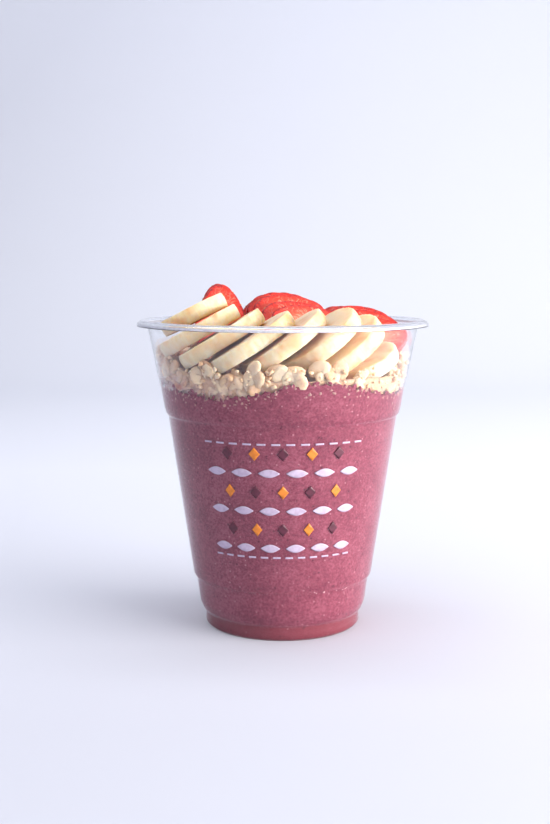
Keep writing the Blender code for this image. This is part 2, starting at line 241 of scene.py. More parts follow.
@dataclass(frozen=True)
class Finish:
    """What every finish has: a name and the shader that its patterns feed."""

    name: str

    def build(self) -> bpy.types.Material:
        """Makes the material.

        Returns:
            The material with its node tree.
        """
        material = bpy.data.materials.new(self.name)
        material.use_nodes = True
        bench = Bench(material.node_tree)
        bench.add("OutputMaterial", {"Surface": self.shade(bench)})
        return material

    def shade(self, bench: Bench) -> Socket:
        """Adds the finish's own nodes and gives its shader socket."""
        raise NotImplementedError


@dataclass(frozen=True)
class ClearPet(Finish):
    """Thermoformed PET: glass clear and glossy, with a faint waviness from the forming."""

    tint: str = "#fcfdfe"
    ior: float = 1.5
    roughness: float = 0.03
    wave_mm: float = 9.0

    def shade(self, bench: Bench) -> Socket:
        """Adds clear plastic that lets the lamps' light through to the food."""
        clear = {"IOR": self.ior, "Transmission Weight": 1.0}
        wave = bench.bump(bench.noise(self.wave_mm, 1.0), 0.06, 0.3)
        plastic = bench.principled(linear(self.tint), self.roughness, clear, wave)
        through = bench.add("BsdfTransparent", {"Color": linear(self.tint)}).outputs[0]
        path = bench.add("LightPath").outputs
        lamp = bench.maths("MAXIMUM", path["Is Shadow Ray"], path["Is Diffuse Ray"])
        return bench.add("MixShader", {0: lamp, 1: plastic, 2: through}).outputs[0]


@dataclass(frozen=True)
class LipHighlightPet(Finish):
    """The same PET where the lip is curled on itself: white and bright, partly from its many layers and
    partly as a painted highlight along the lip.
    """

    tint: str = "#f6f7fb"
    veil: str = "#e6e4ee"
    layer_mm: float = 1.6

    def shade(self, bench: Bench) -> Socket:
        """Adds glossy clouded plastic with faint bands, whose pale colour is partly a painted highlight.
        """
        # Pale curl colour: partly the layers of plastic, partly a painted highlight along the lip.
        colour = bench.ramp(bench.noise(self.layer_mm, 1.0), (0.4, self.veil), (0.6, self.tint))
        return bench.principled(colour, 0.2, {"Transmission Weight": 0.35})


@dataclass(frozen=True)
class BlendedPuree(Finish):
    """Frozen berry puree: dense and matt, ground skins and seeds through it, darker in the foot as a
    painted shade.
    """

    dark: str = "#743044"
    middle: str = "#863d50"
    light: str = "#985062"
    foot_shade: str = "#7d353f"
    skin_fleck: str = "#391022"
    seed_fleck: str = "#cf98a2"
    cloud_mm: float = 14.0
    mottle_mm: float = 2.2
    grain_mm: float = 0.75
    fleck_mm: float = 2.4
    fleck_cover: float = 0.6
    foot_shade_levels: Pair = (6.0 * MM, 4.4 * MM)

    def shade(self, bench: Bench) -> Socket:
        """Adds clouds, a fine grain, two kinds of flecks and the painted shade in the foot."""
        cloud = bench.noise(self.cloud_mm, 2.0, 0.6)
        mottle = bench.noise(self.mottle_mm, 3.0, 0.6)
        grain = bench.noise(self.grain_mm, 2.0, 0.6)
        tone = bench.mean(0.52, bench.mean(0.5, cloud, mottle), grain)
        colour = bench.ramp(tone, (0.40, self.dark), (0.60, self.light), (0.5, self.middle))
        height = bench.add("SeparateXYZ", {"Vector": bench.place}).outputs["Z"]
        # Painted shade: the puree turns darker towards the foot, under the bulge of the wall.
        colour = bench.over(bench.span(height, *self.foot_shade_levels, 0.0, 0.75), colour, self.foot_shade)
        for size, reach, rare, fleck in (
            (self.fleck_mm, 0.19, 0.60, self.skin_fleck),
            (self.fleck_mm * 0.7, 0.20, 0.75, self.seed_fleck),
        ):
            inputs = {"Vector": bench.place, "Scale": per_metre(size)}
            cells = bench.add("TexVoronoi", inputs).outputs
            near = bench.span(cells["Distance"], reach, reach * 0.5, 0.0, 1.0)
            chance = bench.add("SeparateColor", {"Color": cells["Color"]}).outputs[0]
            shown = bench.maths("MULTIPLY", near, bench.maths("GREATER_THAN", chance, rare))
            colour = bench.over(bench.maths("MULTIPLY", shown, self.fleck_cover), colour, fleck)
        return bench.principled(
            colour, 0.6, {"Specular IOR Level": 0.12}, bench.bump(mottle, 0.35, 0.25)
        )


@dataclass(frozen=True)
class ToastedOats(Finish):
    """Toasted rolled oats: matt and floury, each one its own shade, stained where puree reached it."""

    pale: str = "#f3d4af"
    toasted: str = "#dbae86"
    brown: str = "#8e5c36"
    stain: str = "#a26c73"
    fibre_mm: float = 0.9
    mottle_mm: float = 2.4

    def shade(self, bench: Bench) -> Socket:
        """Adds each grain's own tone, a fibrous mottle and the stain of the puree."""
        fibre = bench.noise(self.fibre_mm, 3.0, 0.65)
        mottle = bench.noise(self.mottle_mm, 3.0, 0.65)
        tone = bench.mean(0.5, bench.attribute("grain_tone"), bench.mean(0.5, mottle, fibre))
        colour = bench.ramp(tone, (0.16, self.brown), (0.60, self.pale), (0.38, self.toasted))
        patchy = bench.maths("ADD", bench.attribute("grain_coat"), mottle)
        colour = bench.over(bench.span(patchy, 0.85, 1.3, 0.0, 0.8), colour, self.stain)
        return bench.principled(colour, 0.72, soft(0.4, 2.6, 1.7, 1.0), bench.bump(fibre, 0.9, 0.25))


@dataclass(frozen=True)
class BananaFlesh(Finish):
    """Ripe banana cut with a knife: moist cream flesh with fine rays and a darker three-lobed core."""

    flesh: str = "#f1dcbb"
    shaded: str = "#efd2a0"
    core: str = "#dcb877"
    ripe: str = "#d79c56"
    juice: str = "#ec9366"
    # Painted shade between neighbouring slices.
    gap_shade: str = "#dda24f"
    ray_mm: float = 1.1
    spot_mm: float = 9.0
    lobe_mm: float = 4.2

    def shade(self, bench: Bench) -> Socket:
        """Adds the rays, the core, ripe patches, the juice that ran on to the slice and painted shade
        where slices lie close.
        """
        spots = bench.noise(self.spot_mm, 2.0)
        inputs = {
            "Vector": bench.attribute("slice_place", "Vector"),
            "Scale": per_metre(self.lobe_mm),
            "Smoothness": 0.6,
        }
        lobes = bench.add("TexVoronoi", inputs, feature="SMOOTH_F1").outputs["Distance"]
        rays = bench.rays(bench.attribute("spoke"))
        mixed = bench.mean(0.68, rays, bench.noise(self.ray_mm, 3.0, 0.6))
        colour = bench.ramp(mixed, (0.30, self.shaded), (0.56, self.flesh))
        heart = bench.span(bench.attribute("rim_share"), 0.42, 0.16, 0.0, 0.75)
        for share, tint in (
            (bench.maths("MULTIPLY", heart, lobes), self.core),
            (bench.span(spots, 0.5, 0.7, 0.0, 0.65), self.ripe),
            (bench.span(spots, 0.38, 0.26, 0.0, 0.7), self.juice),
            # Painted shade where another slice lies close.
            (bench.span(bench.attribute("gap_shade"), 0.4, 0.95, 0.0, 0.85), self.gap_shade),
        ):
            colour = bench.over(share, colour, tint)
        return bench.principled(colour, 0.42, soft(0.85, 8.0, 5.4, 2.6), bench.bump(mixed, 0.35, 0.2))


@dataclass(frozen=True)
class StrawberryFlesh(Finish):
    """Cut strawberry: wet red flesh, paler round the core, with white threads out to the skin."""

    core: str = "#f79c7c"
    flesh: str = "#f4583a"
    outer: str = "#dc2b1d"
    skin: str = "#a01013"
    thread: str = "#fab59a"
    fibre_mm: float = 0.9
    streak_mm: float = 3.2
    thread_bend: float = 1.1

    def shade(self, bench: Bench) -> Socket:
        """Adds the colours from core to skin, the threads and a wet surface."""
        rim = bench.attribute("rim_share")
        fibre = bench.noise(self.fibre_mm, 3.0)
        streak = bench.noise(self.streak_mm, 2.0)
        ring = bench.maths("ADD", rim, bench.span(fibre, 0.3, 0.7, -0.07, 0.07))
        stops = ((0.12, self.core), (1.0, self.skin), (0.55, self.flesh), (0.92, self.outer))
        bent = bench.maths("MULTIPLY_ADD", streak, self.thread_bend, bench.attribute("spoke"))
        thin = bench.span(bench.rays(bent), 0.50, 0.64, 0.0, 0.75)
        inside = bench.span(rim, 0.96, 0.75, 0.0, 1.0)
        patchy = bench.span(streak, 0.38, 0.58, 0.1, 1.0)
        threads = bench.maths("MULTIPLY", bench.maths("MULTIPLY", thin, inside), patchy)
        colour = bench.over(threads, bench.ramp(ring, *stops), self.thread)
        wet = {"Specular IOR Level": 0.32}
        return bench.principled(
            colour, 0.3, wet, soft(0.2, 2.2, 0.7, 0.5), bench.bump(fibre, 0.6, 0.2)
        )


@dataclass(frozen=True)
class SeedCoat(Finish):
    """Strawberry seeds: small hard grains, straw yellow to brown, with a dull shine."""

    straw: str = "#caa25a"
    brown: str = "#6d3a1e"

    def shade(self, bench: Bench) -> Socket:
        """Adds a tone of its own for each seed."""
        tone = bench.attribute("grain_tone")
        return bench.principled(bench.ramp(tone, (0.2, self.brown), (0.9, self.straw)), 0.4)


@dataclass(frozen=True)
class ScreenInk(Finish):
    """Screen-printed ink on plastic: opaque, satin, with a very slight unevenness of cover."""

    colour: str
    worn: str
    patch_mm: float = 1.4

    def shade(self, bench: Bench) -> Socket:
        """Adds the ink's colour with its uneven cover."""
        cover = bench.noise(self.patch_mm, 2.0)
        return bench.principled(bench.ramp(cover, (0.35, self.worn), (0.55, self.colour)), 0.45)


@dataclass(frozen=True)
class StudioPaper(Finish):
    """Seamless white paper with a painted glow in place of light from behind, so that it stays pale round
    the object.
    """

    paper: str = "#ccd1dd"
    glow: str = "#efeff2"
    slope: Pair = (-0.69, 0.25)
    glow_strengths: Pair = (0.05, 0.36)
    depths: Pair = (-0.1, 0.3)
    near_share: float = 0.2

    def shade(self, bench: Bench) -> Socket:
        """Adds matt paper whose painted glow grows to the lower right and fades towards the viewer."""
        along = bench.add("SeparateXYZ", {"Vector": bench.place}).outputs
        fall = bench.maths("MULTIPLY_ADD", along["Z"], -1.0, along["X"])
        lit = bench.span(fall, *self.slope, *self.glow_strengths)
        far = bench.span(along["Y"], *self.depths, self.near_share, 1.0)
        # Painted glow: the paper gives off light, more to the lower right and less towards the viewer.
        glow = {
            "Specular IOR Level": 0.1,
            "Emission Color": linear(self.glow),
            "Emission Strength": bench.maths("MULTIPLY", lit, far),
        }
        return bench.principled(linear(self.paper), 0.9, glow)


def new_piece(name: str, shape: Shape, material: bpy.types.Material) -> Piece:
    """Makes a smooth shaded object of a shape, at the origin.

    Args:
        name: Name of the piece.
        shape: Its shape in the shared frame, which this frees.
        material: Its material.

    Returns:
        The object, riding on nothing yet.
    """
    mesh = bpy.data.meshes.new(name)
    shape.to_mesh(mesh)
    shape.free()
    mesh.shade_smooth()
    mesh.materials.append(material)
    piece = bpy.data.objects.new(name, mesh)
    bpy.context.scene.collection.objects.link(piece)
    LOG.info("%s: %d faces", name, len(mesh.polygons))
    return piece


def dress(piece: Piece, slot: Slot, *nodes: str) -> Piece:
    """Lets a piece ride on the one body and hides the nodes that it stands for."""
    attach(piece, BODY)
    if nodes:
        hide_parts(*nodes)
    return piece


def polar(radius: float, angle: float, height: float) -> Vector:
    """A point at a radius, an angle and a height."""
    return Vector((radius * math.cos(angle), radius * math.sin(angle), height))


def turn_of(point: Vector) -> float:
    """Angle of a point about the upright axis."""
    return math.atan2(point.y, point.x)


def standing(centre: Vector, facing: Vector) -> Matrix:
    """What moves a shape to a place and turns its top to a direction."""
    return Matrix.Translation(centre) @ facing.to_track_quat("Z", "Y").to_matrix().to_4x4()


def ripple(point: Vector, size: float) -> float:
    """Smooth noise from -1 to 1 with lumps of about a size in metres."""
    return noise.noise(point / size)


def move(shape: Shape, matrix: Matrix) -> Shape:
    """Moves and turns a whole shape, and gives it back."""
    bmesh.ops.transform(shape, matrix=matrix, verts=shape.verts)
    return shape


def stretch(shape: Shape, *sizes: float) -> Shape:
    """Scales a whole shape along its axes, and gives it back."""
    bmesh.ops.scale(shape, vec=sizes, verts=shape.verts)
    return shape


def offset_line(points: Sequence[Vector], distance: float) -> list[Vector]:
    """Moves an open line of radius and height to its left by a distance, with mitred bends."""
    moved = []
    last = len(points) - 1
    for index, here in enumerate(points):
        arriving = here - points[index - 1] if index else points[1] - here
        leaving = points[index + 1] - here if index < last else here - points[last - 1]
        first = Vector((-arriving.y, arriving.x)).normalized()
        second = Vector((-leaving.y, leaving.x)).normalized()
        mitre = (first + second).normalized()
        moved.append(here + mitre * (distance / max(mitre.dot(first), 0.5)))
    return moved


def in_mm(*points: Pair) -> tuple[Pair, ...]:
    """Points of a section, given in millimetres."""
    return tuple((radius * MM, height * MM) for radius, height in points)


@dataclass(frozen=True)
class CupForm:
    """Section of the thermoformed cup: its solid's sizes, with crisper steps and a bend in the collar."""

    wall: float = 0.5 * MM
    floor: tuple[Pair, ...] = in_mm((0.0, 2.0), (21.0, 2.0), (23.5, 0.0), (25.5, 0.0))
    foot: tuple[Pair, ...] = in_mm((26.4, 0.8), (26.4, 4.6), (27.5, 5.8), (28.4, 8.2))
    low_step: tuple[Pair, ...] = in_mm((29.55, 16.4), (30.2, 17.0), (30.6, 18.0))
    ledge: tuple[Pair, ...] = in_mm((38.75, 72.0), (39.45, 72.7), (40.0, 74.6), (41.2, 81.8), (41.7, 82.8))
    collar: tuple[Pair, ...] = in_mm((44.64, 98.1), (45.0, 99.5))
    lip_centre: Pair = (47.0 * MM, 101.9 * MM)
    lip_radius: float = 2.0 * MM
    lip_steps: int = 14
    segments: int = 192

    @property
    def bends(self) -> tuple[Pair, ...]:
        """Bends of the side, from the foot up to the lip."""
        return self.foot + self.low_step + self.ledge + self.collar

    def lip(self, radius: float) -> list[Vector]:
        """Half circle of the rolled lip, from the wall to its free edge."""
        middle = Vector(self.lip_centre)
        turns = [math.pi * (1 - step / self.lip_steps) for step in range(self.lip_steps + 1)]
        return [middle + Vector((math.cos(turn), math.sin(turn))) * radius for turn in turns]

    def outer(self) -> list[Vector]:
        """Outer line of the shell from the axis to the free edge of the lip."""
        line = [Vector(point) for point in self.floor + self.bends]
        return line + self.lip(self.lip_radius - self.wall)

    def inner(self) -> list[Vector]:
        """Inner line of the shell, one wall inside the outer one."""
        line = offset_line([Vector(point) for point in self.floor + self.bends], self.wall)
        line[0].x = 0.0
        return line + self.lip(self.lip_radius)

    def radius_at(self, line: Sequence[Vector], height: float) -> float:
        """Radius of the side wall on one of the lines, at a height."""
        side = [point for point in line if point.x > self.floor[2][0]]
        for low, high in zip(side, side[1:]):
            if low.y <= height <= high.y:
                return low.x + (high.x - low.x) * (height - low.y) / max(high.y - low.y, 1e-9)
        return side[0].x

    def inner_radius(self, height: float) -> float:
        """Radius of the inner face at a height."""
        return self.radius_at(self.inner(), height)

    def outer_radius(self, height: float) -> float:
        """Radius of the outer face at a height."""
        return self.radius_at(self.outer(), height)


@dataclass(frozen=True)
class Levels:
    """Heights of the puree's wavy edge and of the granola, as the solids have them."""

    form: CupForm
    puree_middle: float = 77.6 * MM
    puree_edge_mean: float = 82.6 * MM
    long_wave: float = 2.2 * MM
    short_wave: float = 0.9 * MM
    crest: float = math.radians(16)
    granola_front: float = 80.8 * MM
    edge_rise: float = 6.0 * MM
    left_rise: float = 3.0 * MM
    mound: float = 11.8 * MM
    mound_y: float = 14.0 * MM
    mound_half_width: float = 42.0 * MM
    mound_half_depth: float = 28.0 * MM
    edge_band: float = 0.86

    def puree_edge(self, angle: float) -> float:
        """Height of the puree's edge at the wall. The front is at minus a quarter turn."""
        past = angle + math.pi / 2 - self.crest
        return (
            self.puree_edge_mean
            + self.long_wave * math.cos(3 * past)
            + self.short_wave * math.cos(5 * past)
        )

    def granola_top(self, radius: float, angle: float) -> float:
        """Height of the bare granola core."""
        wall = self.form.inner_radius(self.granola_front)
        x = radius * math.cos(angle)
        y = radius * math.sin(angle)
        across = (x / self.mound_half_width) ** 2
        along = ((y - self.mound_y) / self.mound_half_depth) ** 2
        back = max(0.0, 1.0 - across - along)
        share = min(max(0.0, (radius / wall - self.edge_band) / (1 - self.edge_band)), 1.0)
        left = self.left_rise * max(0.0, -x / wall) ** 2
        return self.granola_front + self.mound * back + self.edge_rise * share + left


def extruded(shape: Shape, edges: Sequence[Edge]) -> tuple[list[Edge], list[Corner]]:
    """Extrudes edges, and gives the new edges and points."""
    made = bmesh.ops.extrude_edge_only(shape, edges=edges)["geom"]
    new_edges = [item for item in made if isinstance(item, Edge)]
    return new_edges, [item for item in made if isinstance(item, Corner)]


def spin_round(shape: Shape, steps: int) -> None:
    """Spins a section full round the upright axis."""
    bmesh.ops.spin(
        shape,
        geom=list(shape.verts) + list(shape.edges),
        axis=(0, 0, 1),
        cent=(0, 0, 0),
        angle=math.tau,
        steps=steps,
        use_merge=True,
    )


def rough_ball(rng: random.Random, detail: int, rough: float, pitch: float) -> Shape:
    """Makes an irregular ball one metre across, to be scaled to its size.

    Args:
        rng: Source of its random form.
        detail: Subdivisions of the ball that it starts from.
        rough: How far its surface goes in and out, as a share of its size.
        pitch: How many lumps there are across it.

    Returns:
        The ball round the origin.
    """
    shape = bmesh.new()
    bmesh.ops.create_icosphere(shape, subdivisions=detail, radius=0.5)
    shift = Vector((rng.uniform(0, 90), rng.uniform(0, 90), 0))
    for vertex in shape.verts:
        vertex.co *= 1 + rough * noise.noise(vertex.co * pitch + shift)
    return shape


def turned(rows: Sequence[Callable[[float], Vector]], segments: int) -> Shape:
    """Raises a closed shape of revolution row by row, each row placed by its own function.

    Args:
        rows: For each row, what gives the point at an angle.
        segments: Points round each row.

    Returns:
        The closed shape, capped at both ends.
    """
    shape = bmesh.new()
    bmesh.ops.create_circle(shape, cap_ends=True, segments=segments, radius=1.0)
    edges = list(shape.edges)
    for vertex in shape.verts:
        vertex.co = rows[0](turn_of(vertex.co))
    for row in rows[1:]:
        edges, points = extruded(shape, edges)
        for vertex in points:
            vertex.co = row(turn_of(vertex.co))
    bmesh.ops.contextual_create(shape, geom=edges)
    for cap in [face for face in shape.faces if len(face.verts) > 4]:
        bmesh.ops.poke(shape, faces=[cap])
    bmesh.ops.recalc_face_normals(shape, faces=shape.faces)
    return shape


@dataclass
class CupShell:
    """The clear cup: a fine shell with rounded bends, and the curl of plastic inside its lip, white partly
    as a painted highlight.
    """

    form: CupForm
    bend_rounding: float = 0.45 * MM
    merge_reach: float = 0.005 * MM
    curl_radius: float = 0.44 * MM
    curl_place: Pair = (47.85 * MM, 102.3 * MM)
    finish: ClearPet = field(default_factory=lambda: ClearPet("clear_pet"))
    lip_highlight_finish: LipHighlightPet = field(default_factory=lambda: LipHighlightPet("lip_highlight_pet"))

    def curl(self) -> Piece:
        """Spins the curl of folded plastic that fills the lip and carries its painted highlight.

        Returns:
            The curl.
        """
        shape = bmesh.new()
        ring = bmesh.ops.create_circle(shape, segments=18, radius=self.curl_radius)["verts"]
        stand = Matrix.Rotation(math.pi / 2, 4, "X")
        bmesh.ops.transform(shape, matrix=stand, verts=ring)
        radius, height = self.curl_place
        bmesh.ops.translate(shape, vec=(radius, 0.0, height), verts=ring)
        spin_round(shape, self.form.segments)
        bmesh.ops.recalc_face_normals(shape, faces=shape.faces)
        return dress(new_piece("lip_curl_highlight", shape, self.lip_highlight_finish.build()), Slot.CLEAR_PLASTIC)

    def build(self) -> Piece:
        """Spins the closed section and dresses the shell.

        Returns:
            The cup.
        """
        shape = bmesh.new()
        outer = self.form.outer()
        section = outer + self.form.inner()[::-1]
        points = [shape.verts.new((point.x, 0.0, point.y)) for point in section]
        for pair in zip(points, points[1:]):
            shape.edges.new(pair)
        lip = self.form.lip_steps + 1
        floor = len(self.form.floor)
        bends = len(outer) - lip
        inner_start = len(section) - bends
        rounded = points[floor:bends] + points[inner_start : len(section) - floor]
        bmesh.ops.bevel(
            shape,
            geom=rounded,
            offset=self.bend_rounding,
            segments=3,
            profile=0.5,
            affect="VERTICES",
            material=-1,
        )
        spin_round(shape, self.form.segments)
        bmesh.ops.remove_doubles(shape, verts=shape.verts, dist=self.merge_reach)
        bmesh.ops.recalc_face_normals(shape, faces=shape.faces)
        return dress(new_piece("clear_cup", shape, self.finish.build()), Slot.CLEAR_PLASTIC, "cup")


@dataclass
class PureeFill:
    """The puree, from the cup's floor to a ragged wavy edge, pressed just into the wall."""

    form: CupForm
    levels: Levels
    into_wall: float = 0.18 * MM
    segments: int = 420
    base_radii: Pair = (12.0 * MM, 20.8 * MM)
    foot_radii: Pair = (23.4 * MM, 25.2 * MM)
    foot_levels: Pair = (1.0 * MM, 2.6 * MM)
    side_mm: range = range(5, 77, 3)
    side_top: float = 77.0 * MM
    edge_shares: tuple[float, ...] = (0.0, 0.3, 0.6, 0.8, 0.93, 1.0)
    shoulder: tuple[Pair, ...] = in_mm((0.5, -0.15), (1.3, 0.2), (3.0, 0.8), (6.0, 1.6))
    middle_radii: Pair = (20.0 * MM, 4.0 * MM)
    finish: BlendedPuree = field(default_factory=lambda: BlendedPuree("blended_puree"))

    def edge(self, angle: float) -> float:
        """Height of the ragged edge: the wave with peaks and smears on it."""
        round_wall = polar(self.form.inner_radius(self.levels.puree_edge_mean), angle, 0.0)
        ragged = 1.1 * ripple(round_wall, 4.5 * MM) + 0.9 * ripple(round_wall, 1.5 * MM)
        return self.levels.puree_edge(angle) + ragged * MM

    def side(self, height_at: Callable[[float], float]) -> Callable[[float], Vector]:
        """A row on the wall at the height that a function gives."""

        def row(angle: float) -> Vector:
            """Point of the row at an angle."""
            height = height_at(angle)
            return polar(self.form.inner_radius(height) + self.into_wall, angle, height)

        return row

    def build(self) -> Piece:
        """Raises the fill row by row and dresses it.

        Returns:
            The puree.
        """
        base = self.form.floor[0][1] + self.form.wall - self.into_wall
        foot = self.form.wall - self.into_wall
        side_top = self.side_top
        foot_top = self.foot_levels[1]
        bends = [height for _, height in self.form.bends if foot_top < height < side_top]
        heights = [*self.foot_levels, *bends, *(level * MM for level in self.side_mm)]
        rows = [
            lambda angle, radius=radius, level=level: polar(radius, angle, level)
            for radii, level in ((self.base_radii, base), (self.foot_radii, foot))
            for radius in radii
        ]
        rows += [self.side(lambda _, level=level: level) for level in sorted(heights)]
        rows += [
            self.side(lambda angle, part=share: side_top + (self.edge(angle) - side_top) * part)
            for share in self.edge_shares
        ]
        rows += [
            lambda angle, back=back, drop=drop: polar(
                self.form.inner_radius(self.edge(angle)) - back, angle, self.edge(angle) - drop
            )
            for back, drop in self.shoulder
        ]
        rows += [
            lambda angle, radius=radius: polar(radius, angle, self.levels.puree_middle)
            for radius in self.middle_radii
        ]
        shape = turned(rows, self.segments)
        return dress(new_piece("puree_fill", shape, self.finish.build()), Slot.ACAI, "acai_puree")


@dataclass
class WallSmears:
    """What the filling left on the wall: smears of puree over its edge, crumbs pressed in under it."""

    form: CupForm
    fill: PureeFill
    rng: random.Random
    smears: int = 200
    smear_size: Pair = (0.8 * MM, 2.0 * MM)
    smear_rise: Pair = (0.9 * MM, 2.0 * MM)
    smear_depth: float = -0.12 * MM
    pressed: int = 300
    pressed_size: Pair = (0.4 * MM, 1.5 * MM)
    pressed_fall: float = 4.5 * MM
    pressed_depth: float = 0.02 * MM
    pressed_tones: Pair = (0.2, 0.7)
    pressed_coat: float = 0.9
    thickness: float = 0.5 * MM
    puree_finish: BlendedPuree = field(default_factory=lambda: BlendedPuree("smeared_puree"))
    crumb_finish: ToastedOats = field(default_factory=lambda: ToastedOats("pressed_oats"))

    def daub(self, size: float, angle: float, height: float, depth: float) -> Shape:
        """One flat lump against the wall.

        Args:
            size: Its length.
            angle: Its place round the cup.
            height: Its height.
            depth: How far its middle stands in front of the wall's inner face.

        Returns:
            The lump in its place.
        """
        shape = rough_ball(self.rng, 2, 0.5, 3.0)
        stretch(shape, size, size * self.rng.uniform(0.5, 0.9), self.thickness)
        outwards = polar(1.0, angle, 0.0)
        spin = Matrix.Rotation(self.rng.uniform(0, math.tau), 4, "Z")
        centre = outwards * (self.form.inner_radius(height) + depth) + Vector((0, 0, height))
        return move(shape, standing(centre, outwards) @ spin)

    def build(self) -> list[Piece]:
        """Builds the smears and the pressed crumbs and dresses them.

        Returns:
            The two pieces.
        """
        over = Strewn()
        for _ in range(self.smears):
            angle = self.rng.uniform(0, math.tau)
            left = max(0.0, -math.cos(angle)) ** 2
            rise = self.rng.random() ** 3 * (self.smear_rise[0] + self.smear_rise[1] * left)
            size = self.rng.uniform(*self.smear_size)
            height = self.fill.edge(angle) + rise
            over.add(self.daub(size, angle, height, self.smear_depth), 0.5, 0.0)
        under = Strewn()
        for _ in range(self.pressed):
            angle = self.rng.uniform(0, math.tau)
            fall = self.rng.random() ** 3 * self.pressed_fall
            size = self.rng.uniform(*self.pressed_size)
            height = self.fill.edge(angle) - fall
            crumb = self.daub(size, angle, height, self.pressed_depth)
            under.add(crumb, self.rng.uniform(*self.pressed_tones), self.pressed_coat)
        smears = new_piece("puree_smears", over.shape, self.puree_finish.build())
        crumbs = new_piece("pressed_crumbs", under.shape, self.crumb_finish.build())
        return [dress(smears, Slot.ACAI), dress(crumbs, Slot.OATS)]


@dataclass
class Toppings:
    """The slices' solids as obstacles for what is strewn among them."""

    trees: list[BVHTree]

    @classmethod
    def read(cls, nodes: Iterable[Piece]) -> Toppings:
        """Reads the solids of the slices.

        Args:
            nodes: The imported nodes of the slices.

        Returns:
            The obstacles.
        """
        trees = []
        for node in nodes:
            shape = merged_copy(node)
            trees.append(BVHTree.FromBMesh(shape))
            shape.free()
        return cls(trees)

    def meet(self, shape: Shape) -> bool:
        """Whether a shape meets one of the slices."""
        tree = BVHTree.FromBMesh(shape)
        return any(tree.overlap(other) for other in self.trees)


def merged_copy(node: Piece, reach: float = 0.002 * MM) -> Shape:
    """A copy of a node's loose triangles, joined at their corners."""
    shape = bmesh.new()
    shape.from_mesh(node.data)
    bmesh.ops.remove_doubles(shape, verts=shape.verts, dist=reach)
    return shape


@dataclass
class Strewn:
    """Many small grains gathered in one mesh, each with its own tone and stain."""

    shape: Shape = field(default_factory=bmesh.new)

    def add(self, grain: Shape, tone: float, coat: float) -> None:
        """Adds a grain and frees it.

        Args:
            grain: The grain in its place.
            tone: From 0, dark, to 1, pale.
            coat: How much puree is on it, from 0 to 1.
        """
        mesh = bpy.data.meshes.new("grain")
        grain.to_mesh(mesh)
        grain.free()
        before = len(self.shape.verts)
        self.shape.from_mesh(mesh)
        bpy.data.meshes.remove(mesh)
        layers = self.shape.verts.layers.float
        tones = layers.get("grain_tone") or layers.new("grain_tone")
        coats = layers.get("grain_coat") or layers.new("grain_coat")
        self.shape.verts.ensure_lookup_table()
        for index in range(before, len(self.shape.verts)):
            self.shape.verts[index][tones] = tone
            self.shape.verts[index][coats] = coat


@dataclass(frozen=True)
class GrainKind:
    """How one kind of grain is strewn: close behind the wall, and over the top of the bed."""

    name: str
    spacing: float
    behind: float
    wall_tip: float
    count: int
    rise: float
    top_tip: float


